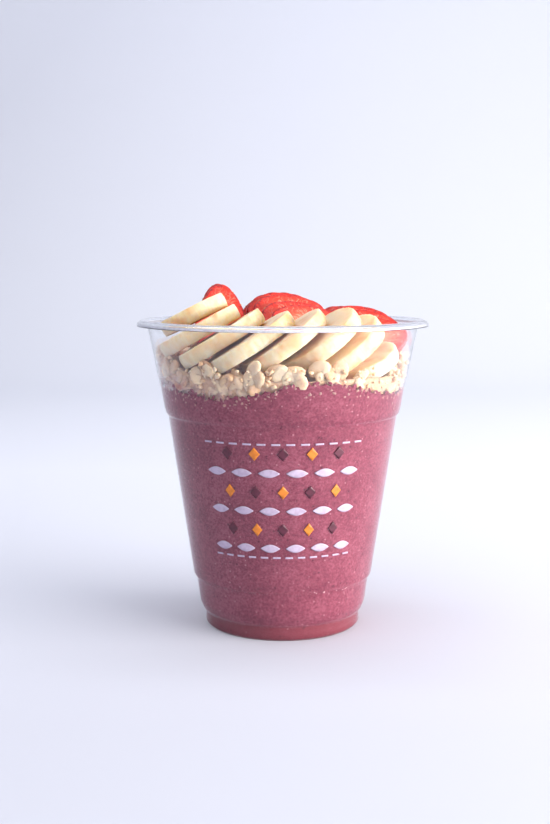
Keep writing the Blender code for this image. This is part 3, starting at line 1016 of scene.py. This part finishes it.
@dataclass
class Granola:
    """Granola between the puree and the fruit: a packed bed with oats, clusters and crumbs on it."""

    form: CupForm
    levels: Levels
    toppings: Toppings
    rng: random.Random
    oat_length: Pair = (5.6 * MM, 8.2 * MM)
    cluster_size: Pair = (6.5 * MM, 10.0 * MM)
    crumb_size: Pair = (0.9 * MM, 2.4 * MM)
    oats: GrainKind = GrainKind("rolled_oats", 4.4 * MM, 1.8 * MM, 0.5, 300, 1.2 * MM, 0.6)
    clusters: GrainKind = GrainKind("oat_clusters", 11.0 * MM, 3.4 * MM, 0.6, 70, 1.8 * MM, 0.6)
    crumbs: GrainKind = GrainKind("crumbs", 3.6 * MM, 0.8 * MM, 1.5, 500, 1.0 * MM, 1.5)
    bed_gaps: Pair = (0.9 * MM, 1.2 * MM)
    bed_depth: float = 2.0 * MM
    bed_rings: int = 26
    bed_segments: int = 200
    bed_tone: float = 0.35
    bed_coat: float = 0.45
    coat_fade: float = 6.0 * MM
    left_coat: float = 0.55
    finish: ToastedOats = field(default_factory=lambda: ToastedOats("toasted_oats"))

    def coat_at(self, centre: Vector) -> float:
        """How much puree is on a grain: more near the puree's edge and at the left."""
        angle = turn_of(centre)
        above = (centre.z - self.levels.puree_edge(angle)) / self.coat_fade
        left = self.left_coat * max(0.0, -math.cos(angle))
        return max(0.0, min(1.0, 0.5 - 0.55 * above + left))

    def bed(self) -> Shape:
        """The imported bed: the core's own levels, crumbly on top and at the side."""
        wall = self.form.inner_radius(self.levels.granola_front)

        def top(share: float) -> Callable[[float], Vector]:
            """A row of the top, by its share of the radius."""

            def row(angle: float) -> Vector:
                """Point of the row at an angle."""
                radius = (wall - self.bed_gaps[0]) * share
                level = self.levels.granola_top(radius, angle)
                point = polar(radius, angle, level)
                crumbly = 0.7 * ripple(point, 3.2 * MM) + 0.4 * ripple(point, 1.3 * MM)
                return point + Vector((0, 0, crumbly * MM))

            return row

        def side(share: float) -> Callable[[float], Vector]:
            """A row of the side, by its share of the height."""

            def row(angle: float) -> Vector:
                """Point of the row at an angle."""
                low = self.levels.puree_edge(angle) - self.bed_depth
                high = self.levels.granola_top(wall, angle)
                height = low + (high - low) * share
                point = polar(self.form.inner_radius(height) - self.bed_gaps[1], angle, height)
                return point + point.normalized() * 0.5 * MM * ripple(point, 2.2 * MM)

            return row

        rows = [lambda angle: polar(wall * 0.6, angle, self.levels.puree_middle - 1.0 * MM)]
        rows += [side(share) for share in (0.0, 0.25, 0.5, 0.75, 1.0)]
        rows += [top(1.0 - step / self.bed_rings) for step in range(1, self.bed_rings)]
        return turned(rows, self.bed_segments)

    def oat(self) -> Shape:
        """One rolled oat: an oval flake, creased along the middle and a little bent."""
        length = self.rng.uniform(*self.oat_length)
        width = length * self.rng.uniform(0.62, 0.78)
        height = length * self.rng.uniform(0.30, 0.46)
        flake = bmesh.new()
        bmesh.ops.create_uvsphere(flake, u_segments=10, v_segments=6, radius=0.5)
        bend = self.rng.uniform(-0.5, 0.9)
        for vertex in flake.verts:
            across = vertex.co.y * 2
            along = vertex.co.x * 2
            crease = 0.45 * math.exp(-((across / 0.25) ** 2)) * (1 - along**2)
            if vertex.co.z > 0:
                vertex.co.z -= crease * 0.5
            vertex.co.z += 0.25 * bend * along**2
        return stretch(flake, length, width, height)

    def lump(self, low: float, high: float, detail: int, rough: float) -> Shape:
        """One irregular lump of a size between two.

        Args:
            low: Smallest size.
            high: Largest size.
            detail: Subdivisions of the ball that it starts from.
            rough: How far its surface goes in and out, as a share of its size.

        Returns:
            The lump round the origin.
        """
        size = self.rng.uniform(low, high)
        shape = rough_ball(self.rng, detail, rough, 3.2)
        return stretch(shape, size, size * self.rng.uniform(0.65, 0.9), size * self.rng.uniform(0.5, 0.8))

    def lumps(self, form: tuple[float, float, int], *roughs: float) -> list[Callable[[], Shape]]:
        """What makes the lumps of one form, as rough as each share says."""
        return [lambda rough=rough: self.lump(*form, rough) for rough in roughs]

    def place(self, grain: Shape, centre: Vector, facing: Vector, tip: float) -> None:
        """Turns a grain flat on to a direction, tips it a little and moves it to its place."""
        spin = Matrix.Rotation(self.rng.uniform(0, math.tau), 4, "Z")
        tips = Euler((self.rng.uniform(-tip, tip), self.rng.uniform(-tip, tip), 0)).to_matrix().to_4x4()
        move(grain, standing(centre, facing) @ tips @ spin)

    def wall_places(self, spacing: float, behind: float) -> Iterable[tuple[Vector, Vector]]:
        """Places in the visible band behind the wall.

        Args:
            spacing: Distance between neighbours.
            behind: Distance of a grain's centre from the wall.

        Returns:
            Centre and outward direction of each place.
        """
        wall = self.form.inner_radius(self.levels.granola_front)
        count = int(math.tau * wall / spacing)
        for index in range(count):
            angle = math.tau * (index + self.rng.uniform(-0.35, 0.35)) / count
            low = self.levels.puree_edge(angle) + 0.6 * MM
            high = self.levels.granola_top(wall, angle) + 4.0 * MM
            rows = max(1, round((high - low) / (spacing * 0.62)))
            for row in range(rows):
                height = low + (high - low) * (row + self.rng.uniform(0.2, 0.8)) / rows
                turn = angle + self.rng.uniform(-0.5, 0.5) * spacing / wall
                outwards = polar(1.0, turn, 0.0)
                radius = self.form.inner_radius(height) - behind * self.rng.uniform(0.9, 1.5)
                yield outwards * radius + Vector((0, 0, height)), outwards

    def top_places(self, count: int, rise: float) -> Iterable[tuple[Vector, Vector]]:
        """Places spread evenly over the top of the bed.

        Args:
            count: How many.
            rise: Height of a grain's centre over the bed.

        Returns:
            Centre and upward direction of each place.
        """
        wall = self.form.inner_radius(self.levels.granola_front) - 3.0 * MM
        for index in range(count):
            angle = index * math.pi * (3 - math.sqrt(5)) + self.rng.uniform(-0.1, 0.1)
            radius = wall * math.sqrt((index + 0.5) / count)
            height = self.levels.granola_top(radius, angle) + rise * self.rng.uniform(0.6, 1.4)
            yield polar(radius, angle, height), Vector((0, 0, 1))

    def strew(
        self,
        into: Strewn,
        places: Iterable[tuple[Vector, Vector]],
        make: Callable[[], Shape],
        tip: float,
    ) -> None:
        """Adds a grain at each place where it is clear of the slices.

        Args:
            into: What gathers the grains.
            places: Centre and facing of each.
            make: Makes one grain round the origin.
            tip: How far it may be tipped, in radians.
        """
        for centre, facing in places:
            grain = make()
            self.place(grain, centre, facing, tip)
            if self.toppings.meet(grain):
                grain.free()
                continue
            into.add(grain, self.rng.uniform(0.1, 0.95), self.coat_at(centre))

    def build(self) -> list[Piece]:
        """Builds the bed and the three kinds of grains, and dresses them.

        Returns:
            The pieces.
        """
        material = self.finish.build()
        bed = Strewn()
        bed.add(self.bed(), self.bed_tone, self.bed_coat)
        pieces = [dress(new_piece("granola_bed", bed.shape, material), Slot.OATS, "granola")]
        cluster = (*self.cluster_size, 3)
        crumb = (*self.crumb_size, 1)
        for kind, makers in (
            (self.oats, (self.oat, self.oat)),
            (self.clusters, self.lumps(cluster, 0.55, 0.55)),
            (self.crumbs, self.lumps(crumb, 0.9, 0.5)),
        ):
            grains = Strewn()
            self.strew(grains, self.wall_places(kind.spacing, kind.behind), makers[0], kind.wall_tip)
            self.strew(grains, self.top_places(kind.count, kind.rise), makers[1], kind.top_tip)
            pieces.append(dress(new_piece(kind.name, grains.shape, material), Slot.OATS))
        return pieces


@dataclass
class CutPlate:
    """Where a flat slice lies, read from its solid: its own axes, outline and thickness."""

    place: Matrix
    reach: list[float]
    thickness: float

    @classmethod
    def read(cls, node: Piece, samples: int = 120) -> CutPlate:
        """Reads a slice's solid.

        Args:
            node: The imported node.
            samples: Directions in which its outline is measured.

        Returns:
            The slice's place, with its pointed end, if it has one, at +Y, and its outline.
        """
        solid = merged_copy(node)
        areas: dict[tuple[float, ...], float] = {}
        for face in solid.faces:
            key = tuple(round(part, 2) for part in face.normal)
            areas[key] = areas.get(key, 0.0) + face.calc_area()
        up = Vector(max(areas, key=areas.get)).normalized()
        up = -up if up.z < 0 else up
        points = [vertex.co.copy() for vertex in solid.verts]
        across, along = cls.flat_axes(points, up)
        axes = Matrix((across, along, up)).transposed()
        local = [axes.transposed() @ point for point in points]
        low = Vector([min(point[axis] for point in local) for axis in range(3)])
        high = Vector([max(point[axis] for point in local) for axis in range(3)])
        centre = axes @ ((low + high) / 2)
        tree = BVHTree.FromBMesh(solid)
        solid.free()
        rays = []
        for index in range(samples):
            turn = math.tau * index / samples
            rays.append(tree.ray_cast(centre, axes @ polar(1.0, turn, 0.0))[3])
        weights = (1, 2, 3, 4, 3, 2, 1)
        smooth = [
            sum(rays[(index + step - 3) % samples] * weight for step, weight in enumerate(weights)) / 16
            for index in range(samples)
        ]
        return cls(Matrix.Translation(centre) @ axes.to_4x4(), smooth, high.z - low.z)

    @staticmethod
    def flat_axes(points: Sequence[Vector], up: Vector) -> tuple[Vector, Vector]:
        """Short and long axis of flat points, the long one towards their narrow end.

        Args:
            points: Points of the slice.
            up: Its normal.

        Returns:
            Unit vectors across and along the slice.
        """
        middle = sum(points, Vector()) / len(points)
        first = up.orthogonal().normalized()
        second = up.cross(first)
        flat = [((point - middle).dot(first), (point - middle).dot(second)) for point in points]
        xx = sum(x * x for x, _ in flat)
        yy = sum(y * y for _, y in flat)
        xy = sum(x * y for x, y in flat)
        turn = 0.5 * math.atan2(2 * xy, xx - yy)
        along = first * math.cos(turn) + second * math.sin(turn)
        across = along.cross(up)
        spans = [0.0, 0.0]
        reach = max(abs((point - middle).dot(along)) for point in points)
        for point in points:
            offset = point - middle
            share = offset.dot(along) / reach
            if abs(share) > 0.45:
                side = int(share > 0)
                spans[side] = max(spans[side], abs(offset.dot(across)))
        if spans[1] > spans[0]:
            return -across, -along
        return across, along

    def reach_at(self, angle: float) -> float:
        """Distance from the middle to the outline at an angle."""
        spot = (angle % math.tau) / math.tau * len(self.reach)
        index = int(spot)
        share = spot - index
        here = self.reach[index % len(self.reach)]
        return here + (self.reach[(index + 1) % len(self.reach)] - here) * share

    def carve(
        self,
        shape: Shape,
        skin: Callable[[Vector, float, float], float],
        face: Callable[[Vector, float, float], float],
    ) -> None:
        """Moves the points of a slice's side in and out, and those of its cut faces up and down.

        Args:
            shape: The slice, flat round the origin.
            skin: How far a point of the side goes out, by its place, turn and bulge.
            face: How many millimetres a point of a face goes out, by its place, turn and share
                of the way to the rim.
        """
        half = self.thickness / 2
        for vertex in shape.verts:
            point = vertex.co.copy()
            turn = turn_of(point)
            share = point.xy.length / self.reach_at(turn)
            if share > SIDE_SHARE:
                bulge = 1 - (point.z / half) ** 2
                vertex.co += polar(1.0, turn, 0.0) * skin(point, turn, bulge)
            if abs(point.z) > half * FACE_SHARE:
                vertex.co.z += math.copysign(1.0, point.z) * MM * face(point, turn, share)


@dataclass
class SliceMaker:
    """Makes a fine cut slice over a plate: rounded rims, rings on both faces and a rippled side."""

    segments: int
    rings: int
    rounding: float
    side_cuts: int = 3

    def plate(self, form: CutPlate) -> Shape:
        """Raises the slice in its own axes, flat, with its rings.

        Args:
            form: The plate that it follows.

        Returns:
            The slice round the origin, with what each point knows of its own place.
        """
        shape = bmesh.new()
        bmesh.ops.create_circle(shape, cap_ends=True, segments=self.segments, radius=1.0)
        for vertex in shape.verts:
            turn = turn_of(vertex.co)
            vertex.co = polar(form.reach_at(turn), turn, -form.thickness / 2)
        raised = bmesh.ops.extrude_face_region(shape, geom=list(shape.faces))["geom"]
        top = [item for item in raised if isinstance(item, Corner)]
        bmesh.ops.translate(shape, vec=(0, 0, form.thickness), verts=top)
        bmesh.ops.recalc_face_normals(shape, faces=shape.faces)
        caps = [face for face in shape.faces if len(face.verts) > 4]
        rims = {edge for cap in caps for edge in cap.edges}
        uprights = [edge for edge in shape.edges if edge not in rims]
        bmesh.ops.subdivide_edges(shape, edges=uprights, cuts=self.side_cuts)
        bmesh.ops.bevel(
            shape,
            geom=list(rims),
            offset=self.rounding,
            segments=2,
            profile=0.5,
            affect="EDGES",
            material=-1,
        )
        for cap in [face for face in shape.faces if len(face.verts) > 4]:
            self.ringed(shape, cap)
        self.note_places(shape, form)
        return shape

    def ringed(self, shape: Shape, cap: bmesh.types.BMFace) -> None:
        """Fills a cap with rings down to a point in its middle."""
        level = cap.verts[0].co.z
        outline = [vertex.co.copy() for vertex in cap.verts]
        reach = {round(turn_of(point), 4): point.xy.length for point in outline}
        for ring in range(1, self.rings):
            bmesh.ops.inset_region(shape, faces=[cap], thickness=0.0)
            share = 1 - ring / self.rings
            for vertex in cap.verts:
                turn = turn_of(vertex.co)
                length = reach.get(round(turn, 4), vertex.co.xy.length)
                vertex.co = polar(length * share, turn, level)
        bmesh.ops.poke(shape, faces=[cap])

    @staticmethod
    def note_places(shape: Shape, form: CutPlate) -> None:
        """Notes on each point its place in the slice, its share of the way to the rim and its turn."""
        place = shape.verts.layers.float_vector.new("slice_place")
        rim = shape.verts.layers.float.new("rim_share")
        spoke = shape.verts.layers.float.new("spoke")
        for vertex in shape.verts:
            turn = turn_of(vertex.co)
            vertex[place] = vertex.co
            vertex[rim] = vertex.co.xy.length / form.reach_at(turn)
            vertex[spoke] = turn


@dataclass
class BananaRow:
    """Banana slices shingled along the front, each over its own solid."""

    nodes: list[Piece]
    cover_reach: float = 3.2 * MM
    maker: SliceMaker = field(default_factory=lambda: SliceMaker(120, 14, 0.3 * MM))
    finish: BananaFlesh = field(default_factory=lambda: BananaFlesh("banana_flesh_cut"))

    def relief(self, shape: Shape, form: CutPlate, number: int) -> None:
        """Gives the side its blunt ridges, the faces their knife marks and the rims small nicks."""
        shift = Vector((number * 3.7, number * 1.9, 0)) * MM * 10

        def skin(point: Vector, turn: float, bulge: float) -> float:
            """How far a point of the side goes out."""
            fibres = 0.13 * MM * math.sin(turn * 46 + 3 * ripple(point + shift, 6 * MM))
            nick = 0.5 * MM * min(0.0, ripple(point + shift, 2.2 * MM) + 0.1)
            return fibres + 0.35 * MM * bulge + nick - 0.15 * MM

        def face(point: Vector, turn: float, share: float) -> float:
            """How many millimetres a point of a cut face goes out."""
            lobes = math.exp(-((share / 0.34) ** 2)) * (0.6 + 0.4 * math.cos(3 * turn + number))
            marks = 0.12 * ripple(point + shift, 5 * MM) + 0.05 * ripple(point + shift, 1.4 * MM)
            return marks - 0.22 * lobes

        form.carve(shape, skin, face)

    def note_gap_shade(self, shape: Shape, others: Sequence[BVHTree]) -> None:
        """Notes on each point how near another slice lies, from 0 to 1, for the painted shade between
        slices.
        """
        # Nearness to other slices, which drives the painted shade in the gaps.
        gap_shade = shape.verts.layers.float.new("gap_shade")
        for vertex in shape.verts:
            nearest = [tree.find_nearest(vertex.co, self.cover_reach)[3] for tree in others]
            gaps = [gap for gap in nearest if gap is not None]
            vertex[gap_shade] = 1 - min(gaps) / self.cover_reach if gaps else 0.0

    def build(self) -> list[Piece]:
        """Builds and dresses every slice.

        Returns:
            The slices.
        """
        material = self.finish.build()
        trees = Toppings.read(self.nodes).trees
        pieces = []
        for number, node in enumerate(self.nodes, 1):
            form = CutPlate.read(node)
            shape = self.maker.plate(form)
            self.relief(shape, form, number)
            move(shape, form.place)
            self.note_gap_shade(shape, trees[: number - 1] + trees[number:])
            piece = new_piece(f"banana_slice_{number}", shape, material)
            pieces.append(dress(piece, Slot.BANANA, node.name))
        return pieces


@dataclass
class StrawberryFans:
    """Strawberries cut lengthwise and fanned behind the banana slices, each slice over its solid."""

    nodes: list[Piece]
    rng: random.Random
    seed_spacing: float = 2.5 * MM
    seed_size: Triple = (1.15 * MM, 0.75 * MM, 0.55 * MM)
    seed_sink: float = 0.02 * MM
    dimple: float = 0.75 * MM
    maker: SliceMaker = field(default_factory=lambda: SliceMaker(132, 16, 0.4 * MM))
    finish: StrawberryFlesh = field(default_factory=lambda: StrawberryFlesh("strawberry_flesh_cut"))
    seed_finish: SeedCoat = field(default_factory=lambda: SeedCoat("strawberry_seed_coat"))

    def seed_spots(self, form: CutPlate) -> list[Pair]:
        """Turn and height of each seed on the skin of one slice, in two staggered rows."""
        spots = []
        around = math.tau * sum(form.reach) / len(form.reach)
        count = int(around / self.seed_spacing)
        for index in range(count):
            turn = math.tau * (index + self.rng.uniform(-0.15, 0.15)) / count
            height = (0.25 if index % 2 else -0.25) * form.thickness
            spots.append((turn, height))
        return spots

    def relief(
        self, shape: Shape, form: CutPlate, spots: Sequence[Pair], number: int
    ) -> None:
        """Gives the skin its dimples round the seeds and the cut faces their sunken core."""
        shift = Vector((number * 2.3, number * 4.1, 0)) * MM * 10

        def skin(point: Vector, turn: float, bulge: float) -> float:
            """How far a point of the side goes out."""
            dip = 0.0
            for seed_turn, height in spots:
                gap = abs((turn - seed_turn + math.pi) % math.tau - math.pi) * form.reach_at(turn)
                distance = math.hypot(gap, point.z - height)
                dip = max(dip, math.exp(-((distance / self.dimple) ** 2)))
            return 0.30 * MM * bulge - 0.35 * MM * dip

        def face(point: Vector, _: float, share: float) -> float:
            """How many millimetres a point of a cut face goes out."""
            core = math.exp(-((share / 0.30) ** 2))
            marks = 0.16 * ripple(point + shift, 4 * MM) + 0.08 * ripple(point + shift, 1.2 * MM)
            return marks - 0.30 * core

        form.carve(shape, skin, face)

    def seed(self, form: CutPlate, turn: float, height: float) -> Shape:
        """One seed, set in its dimple."""
        grain = bmesh.new()
        bmesh.ops.create_icosphere(grain, subdivisions=1, radius=0.5)
        stretch(grain, *self.seed_size)
        outwards = polar(1.0, turn, 0.0)
        centre = outwards * (form.reach_at(turn) - self.seed_sink) + Vector((0, 0, height))
        return move(grain, form.place @ standing(centre, outwards))

    def build(self) -> list[Piece]:
        """Builds and dresses every slice and the seeds.

        Returns:
            The slices and the seeds' piece.
        """
        material = self.finish.build()
        seeds = Strewn()
        pieces = []
        for number, node in enumerate(self.nodes, 1):
            form = CutPlate.read(node)
            spots = self.seed_spots(form)
            shape = self.maker.plate(form)
            self.relief(shape, form, spots, number)
            move(shape, form.place)
            piece = new_piece(f"strawberry_slice_{number}", shape, material)
            pieces.append(dress(piece, Slot.STRAWBERRY, node.name))
            for turn, height in spots:
                seeds.add(self.seed(form, turn, height), self.rng.random(), 0.0)
        seed_piece = new_piece("strawberry_seeds", seeds.shape, self.seed_finish.build())
        return [*pieces, dress(seed_piece, Slot.STRAWBERRY)]


@dataclass
class PrintedPattern:
    """A plain repeating pattern printed on the cup's front: leaves, lozenges and dashes in rows."""

    form: CupForm
    middle: float = 48.0 * MM
    column: float = 8.6 * MM
    row: float = 6.2 * MM
    columns: int = 6
    rows: int = 6
    lozenge: Pair = (1.7 * MM, 2.2 * MM)
    leaf: Pair = (3.3 * MM, 1.35 * MM)
    dash: Pair = (1.3 * MM, 0.28 * MM)
    ink: float = 0.06 * MM
    over_wall: float = 0.01 * MM

    def envelope(self, motif: Motif, share: float) -> float:
        """Half height of a motif, as a share of its largest, at a share of its half width."""
        if motif is Motif.LEAF:
            return 1 - share**2
        if motif is Motif.LOZENGE:
            return 1 - abs(share)
        return 1.0

    def add_motif(
        self, shape: Shape, motif: Motif, spot: Pair, size: Pair
    ) -> None:
        """Adds one motif, wrapped round the wall.

        Args:
            shape: The shape that it joins.
            motif: What it is.
            spot: Distance round the wall from the front, and height.
            size: Half width and half height.
        """
        made = bmesh.ops.create_grid(shape, x_segments=10, y_segments=4, size=1.0)["verts"]
        for vertex in made:
            share, up, _ = vertex.co
            height = spot[1] + up * size[1] * max(self.envelope(motif, share), 0.04)
            radius = self.form.outer_radius(height) + self.over_wall + self.ink
            angle = (spot[0] + share * size[0]) / self.form.outer_radius(self.middle) - math.pi / 2
            vertex.co = polar(radius, angle, height)

    def layout(self) -> Iterable[tuple[str, Motif, Pair, Pair]]:
        """Every motif of the lattice with its ink, place and size."""
        for row in range(self.rows):
            height = self.middle + (row - (self.rows - 1) / 2) * self.row
            count = self.columns - row % 2
            for column in range(count):
                across = (column - (count - 1) / 2) * self.column
                if row % 2:
                    ink = "orange" if (column + row // 2) % 2 else "plum"
                    yield ink, Motif.LOZENGE, (across, height), self.lozenge
                else:
                    yield "pale", Motif.LEAF, (across, height), self.leaf
        for side in (-1, 1):
            height = self.middle + side * (self.rows / 2) * self.row
            for column in range(self.columns * 2):
                across = (column - (self.columns * 2 - 1) / 2) * self.column / 2
                yield "pale", Motif.DASH, (across, height), self.dash

    def build(self) -> list[Piece]:
        """Builds one printed skin for each ink and dresses it.

        Returns:
            The skins.
        """
        inks = (
            ScreenInk("pale_ink", "#c4b6ce", "#b7a6c0"),
            ScreenInk("orange_ink", "#e0852c", "#cf7628"),
            ScreenInk("plum_ink", "#5b2438", "#4e1f30"),
        )
        shapes = {ink: bmesh.new() for ink in ("pale", "orange", "plum")}
        for ink, motif, spot, size in self.layout():
            self.add_motif(shapes[ink], motif, spot, size)
        pieces = []
        for (ink, shape), finish in zip(shapes.items(), inks):
            bmesh.ops.recalc_face_normals(shape, faces=shape.faces)
            outside = next(iter(shape.faces))
            if outside.normal.dot(outside.calc_center_median()) < 0:
                bmesh.ops.reverse_faces(shape, faces=shape.faces)
            bmesh.ops.solidify(shape, geom=list(shape.faces), thickness=self.ink)
            piece = new_piece(f"printed_{ink}", shape, finish.build())
            pieces.append(dress(piece, Slot.CLEAR_PLASTIC))
        return pieces


@dataclass(frozen=True)
class Lamp:
    """One soft box: where it stands, what it points at, its size, power and colour."""

    name: str
    place: Triple
    size: Pair
    watts: float
    colour: str
    aim: Triple = (0.0, 0.0, 0.07)

    def build(self) -> Piece:
        """Makes the lamp."""
        data = bpy.data.lights.new(self.name, "AREA")
        data.shape = "RECTANGLE"
        data.size, data.size_y = self.size
        data.energy = self.watts
        data.color = linear(self.colour)[:3]
        lamp = bpy.data.objects.new(self.name, data)
        lamp.location = self.place
        lamp.rotation_euler = (Vector(self.aim) - Vector(self.place)).to_track_quat("-Z", "Y").to_euler()
        bpy.context.scene.collection.objects.link(lamp)
        return lamp


@dataclass
class Studio:
    """A seamless pale sweep, soft light from the right and the camera of the photograph."""

    front: float = -1.6
    turn_at: float = 0.75
    sweep_radius: float = 0.45
    sweep_steps: int = 14
    top: float = 1.7
    half_width: float = 2.2
    lamps: tuple[Lamp, ...] = (
        Lamp("key", (0.69, -0.32, 0.15), (0.7, 0.24), 12.8, "#fff7f0"),
        Lamp("overhead", (0.0, -0.20, 0.95), (1.5, 1.1), 8.1, "#fbf9fb"),
        Lamp("fill", (-0.72, -0.30, 0.2), (0.5, 0.4), 0.6, "#ecd9fb"),
        Lamp("backdrop", (0.0, 0.25, 1.1), (1.8, 0.3), 5.8, "#faf7f8", (0.1, 1.2, 0.15)),
    )
    room: str = "#cfd3e6"
    room_strength: float = 0.28
    room_gloss: float = 0.5
    camera_place: Triple = (-0.00254, -0.4065, 0.1221)
    camera_dip: float = 6.983
    lens: float = 52.53

    def sweep(self) -> Piece:
        """The paper, extruded from its front edge to the top of its back."""
        shape = bmesh.new()
        ends = [shape.verts.new((side * self.half_width, self.front, 0.0)) for side in (-1, 1)]
        edges = [shape.edges.new(ends)]
        line = [(self.turn_at, 0.0)]
        for step in range(1, self.sweep_steps + 1):
            turn = math.pi / 2 * step / self.sweep_steps
            out = self.turn_at + self.sweep_radius * math.sin(turn)
            line.append((out, self.sweep_radius * (1 - math.cos(turn))))
        line.append((self.turn_at + self.sweep_radius, self.top))
        here = (self.front, 0.0)
        for there in line:
            edges, moved = extruded(shape, edges)
            bmesh.ops.translate(shape, vec=(0, there[0] - here[0], there[1] - here[1]), verts=moved)
            here = there
        bmesh.ops.recalc_face_normals(shape, faces=shape.faces)
        paper = new_piece("paper_sweep", shape, StudioPaper("studio_paper").build())
        return paper

    def camera(self) -> Piece:
        """The camera where the photograph was taken from."""
        data = bpy.data.cameras.new("camera")
        data.sensor_fit = "VERTICAL"
        data.sensor_width = 36.0
        data.sensor_height = 36.0
        data.lens = self.lens
        camera = bpy.data.objects.new("camera", data)
        camera.location = self.camera_place
        camera.rotation_euler = (math.radians(90 - self.camera_dip), 0.0, 0.0)
        bpy.context.scene.collection.objects.link(camera)
        bpy.context.scene.camera = camera
        return camera

    def build(self) -> None:
        """Sets up the paper, the room's light, the lamps and the camera."""
        scene = bpy.context.scene
        scene.view_settings.view_transform = "Standard"
        world = bpy.data.worlds.new("room")
        world.use_nodes = True
        bench = Bench(world.node_tree)
        path = bench.add("LightPath").outputs
        seen = bench.maths("MAXIMUM", path["Is Glossy Ray"], path["Is Transmission Ray"])
        strength = bench.maths("MULTIPLY_ADD", seen, self.room_gloss, self.room_strength)
        room = bench.add("Background", {"Color": linear(self.room), "Strength": strength})
        bench.add("OutputWorld", {"Surface": room.outputs[0]})
        scene.world = world
        self.sweep()
        for lamp in self.lamps:
            lamp.build()
        self.camera()


def numbered(nodes: dict[str, Piece], prefix: str) -> list[Piece]:
    """Nodes of a numbered kind, in order."""
    names = [name for name in nodes if name.startswith(prefix)]
    return [nodes[name] for name in sorted(names, key=lambda name: int(name[len(prefix) :]))]


def main() -> None:
    """Builds the bowl over its solids, then the studio round it."""
    logging.basicConfig(level=logging.INFO, format="%(message)s")
    for obj in list(bpy.data.objects):
        bpy.data.objects.remove(obj, do_unlink=True)
    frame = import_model()
    nodes = frame["nodes"]
    form = CupForm()
    levels = Levels(form)
    bananas = numbered(nodes, "banana_")
    strawberries = numbered(nodes, "strawberry_")
    shell = CupShell(form)
    shell.build()
    shell.curl()
    fill = PureeFill(form, levels)
    fill.build()
    WallSmears(form, fill, random.Random(SEED + 2)).build()
    toppings = Toppings.read(bananas + strawberries)
    Granola(form, levels, toppings, random.Random(SEED)).build()
    BananaRow(bananas).build()
    StrawberryFans(strawberries, random.Random(SEED + 1)).build()
    PrintedPattern(form).build()
    Studio().build()


if __name__ == "__main__":
    main()
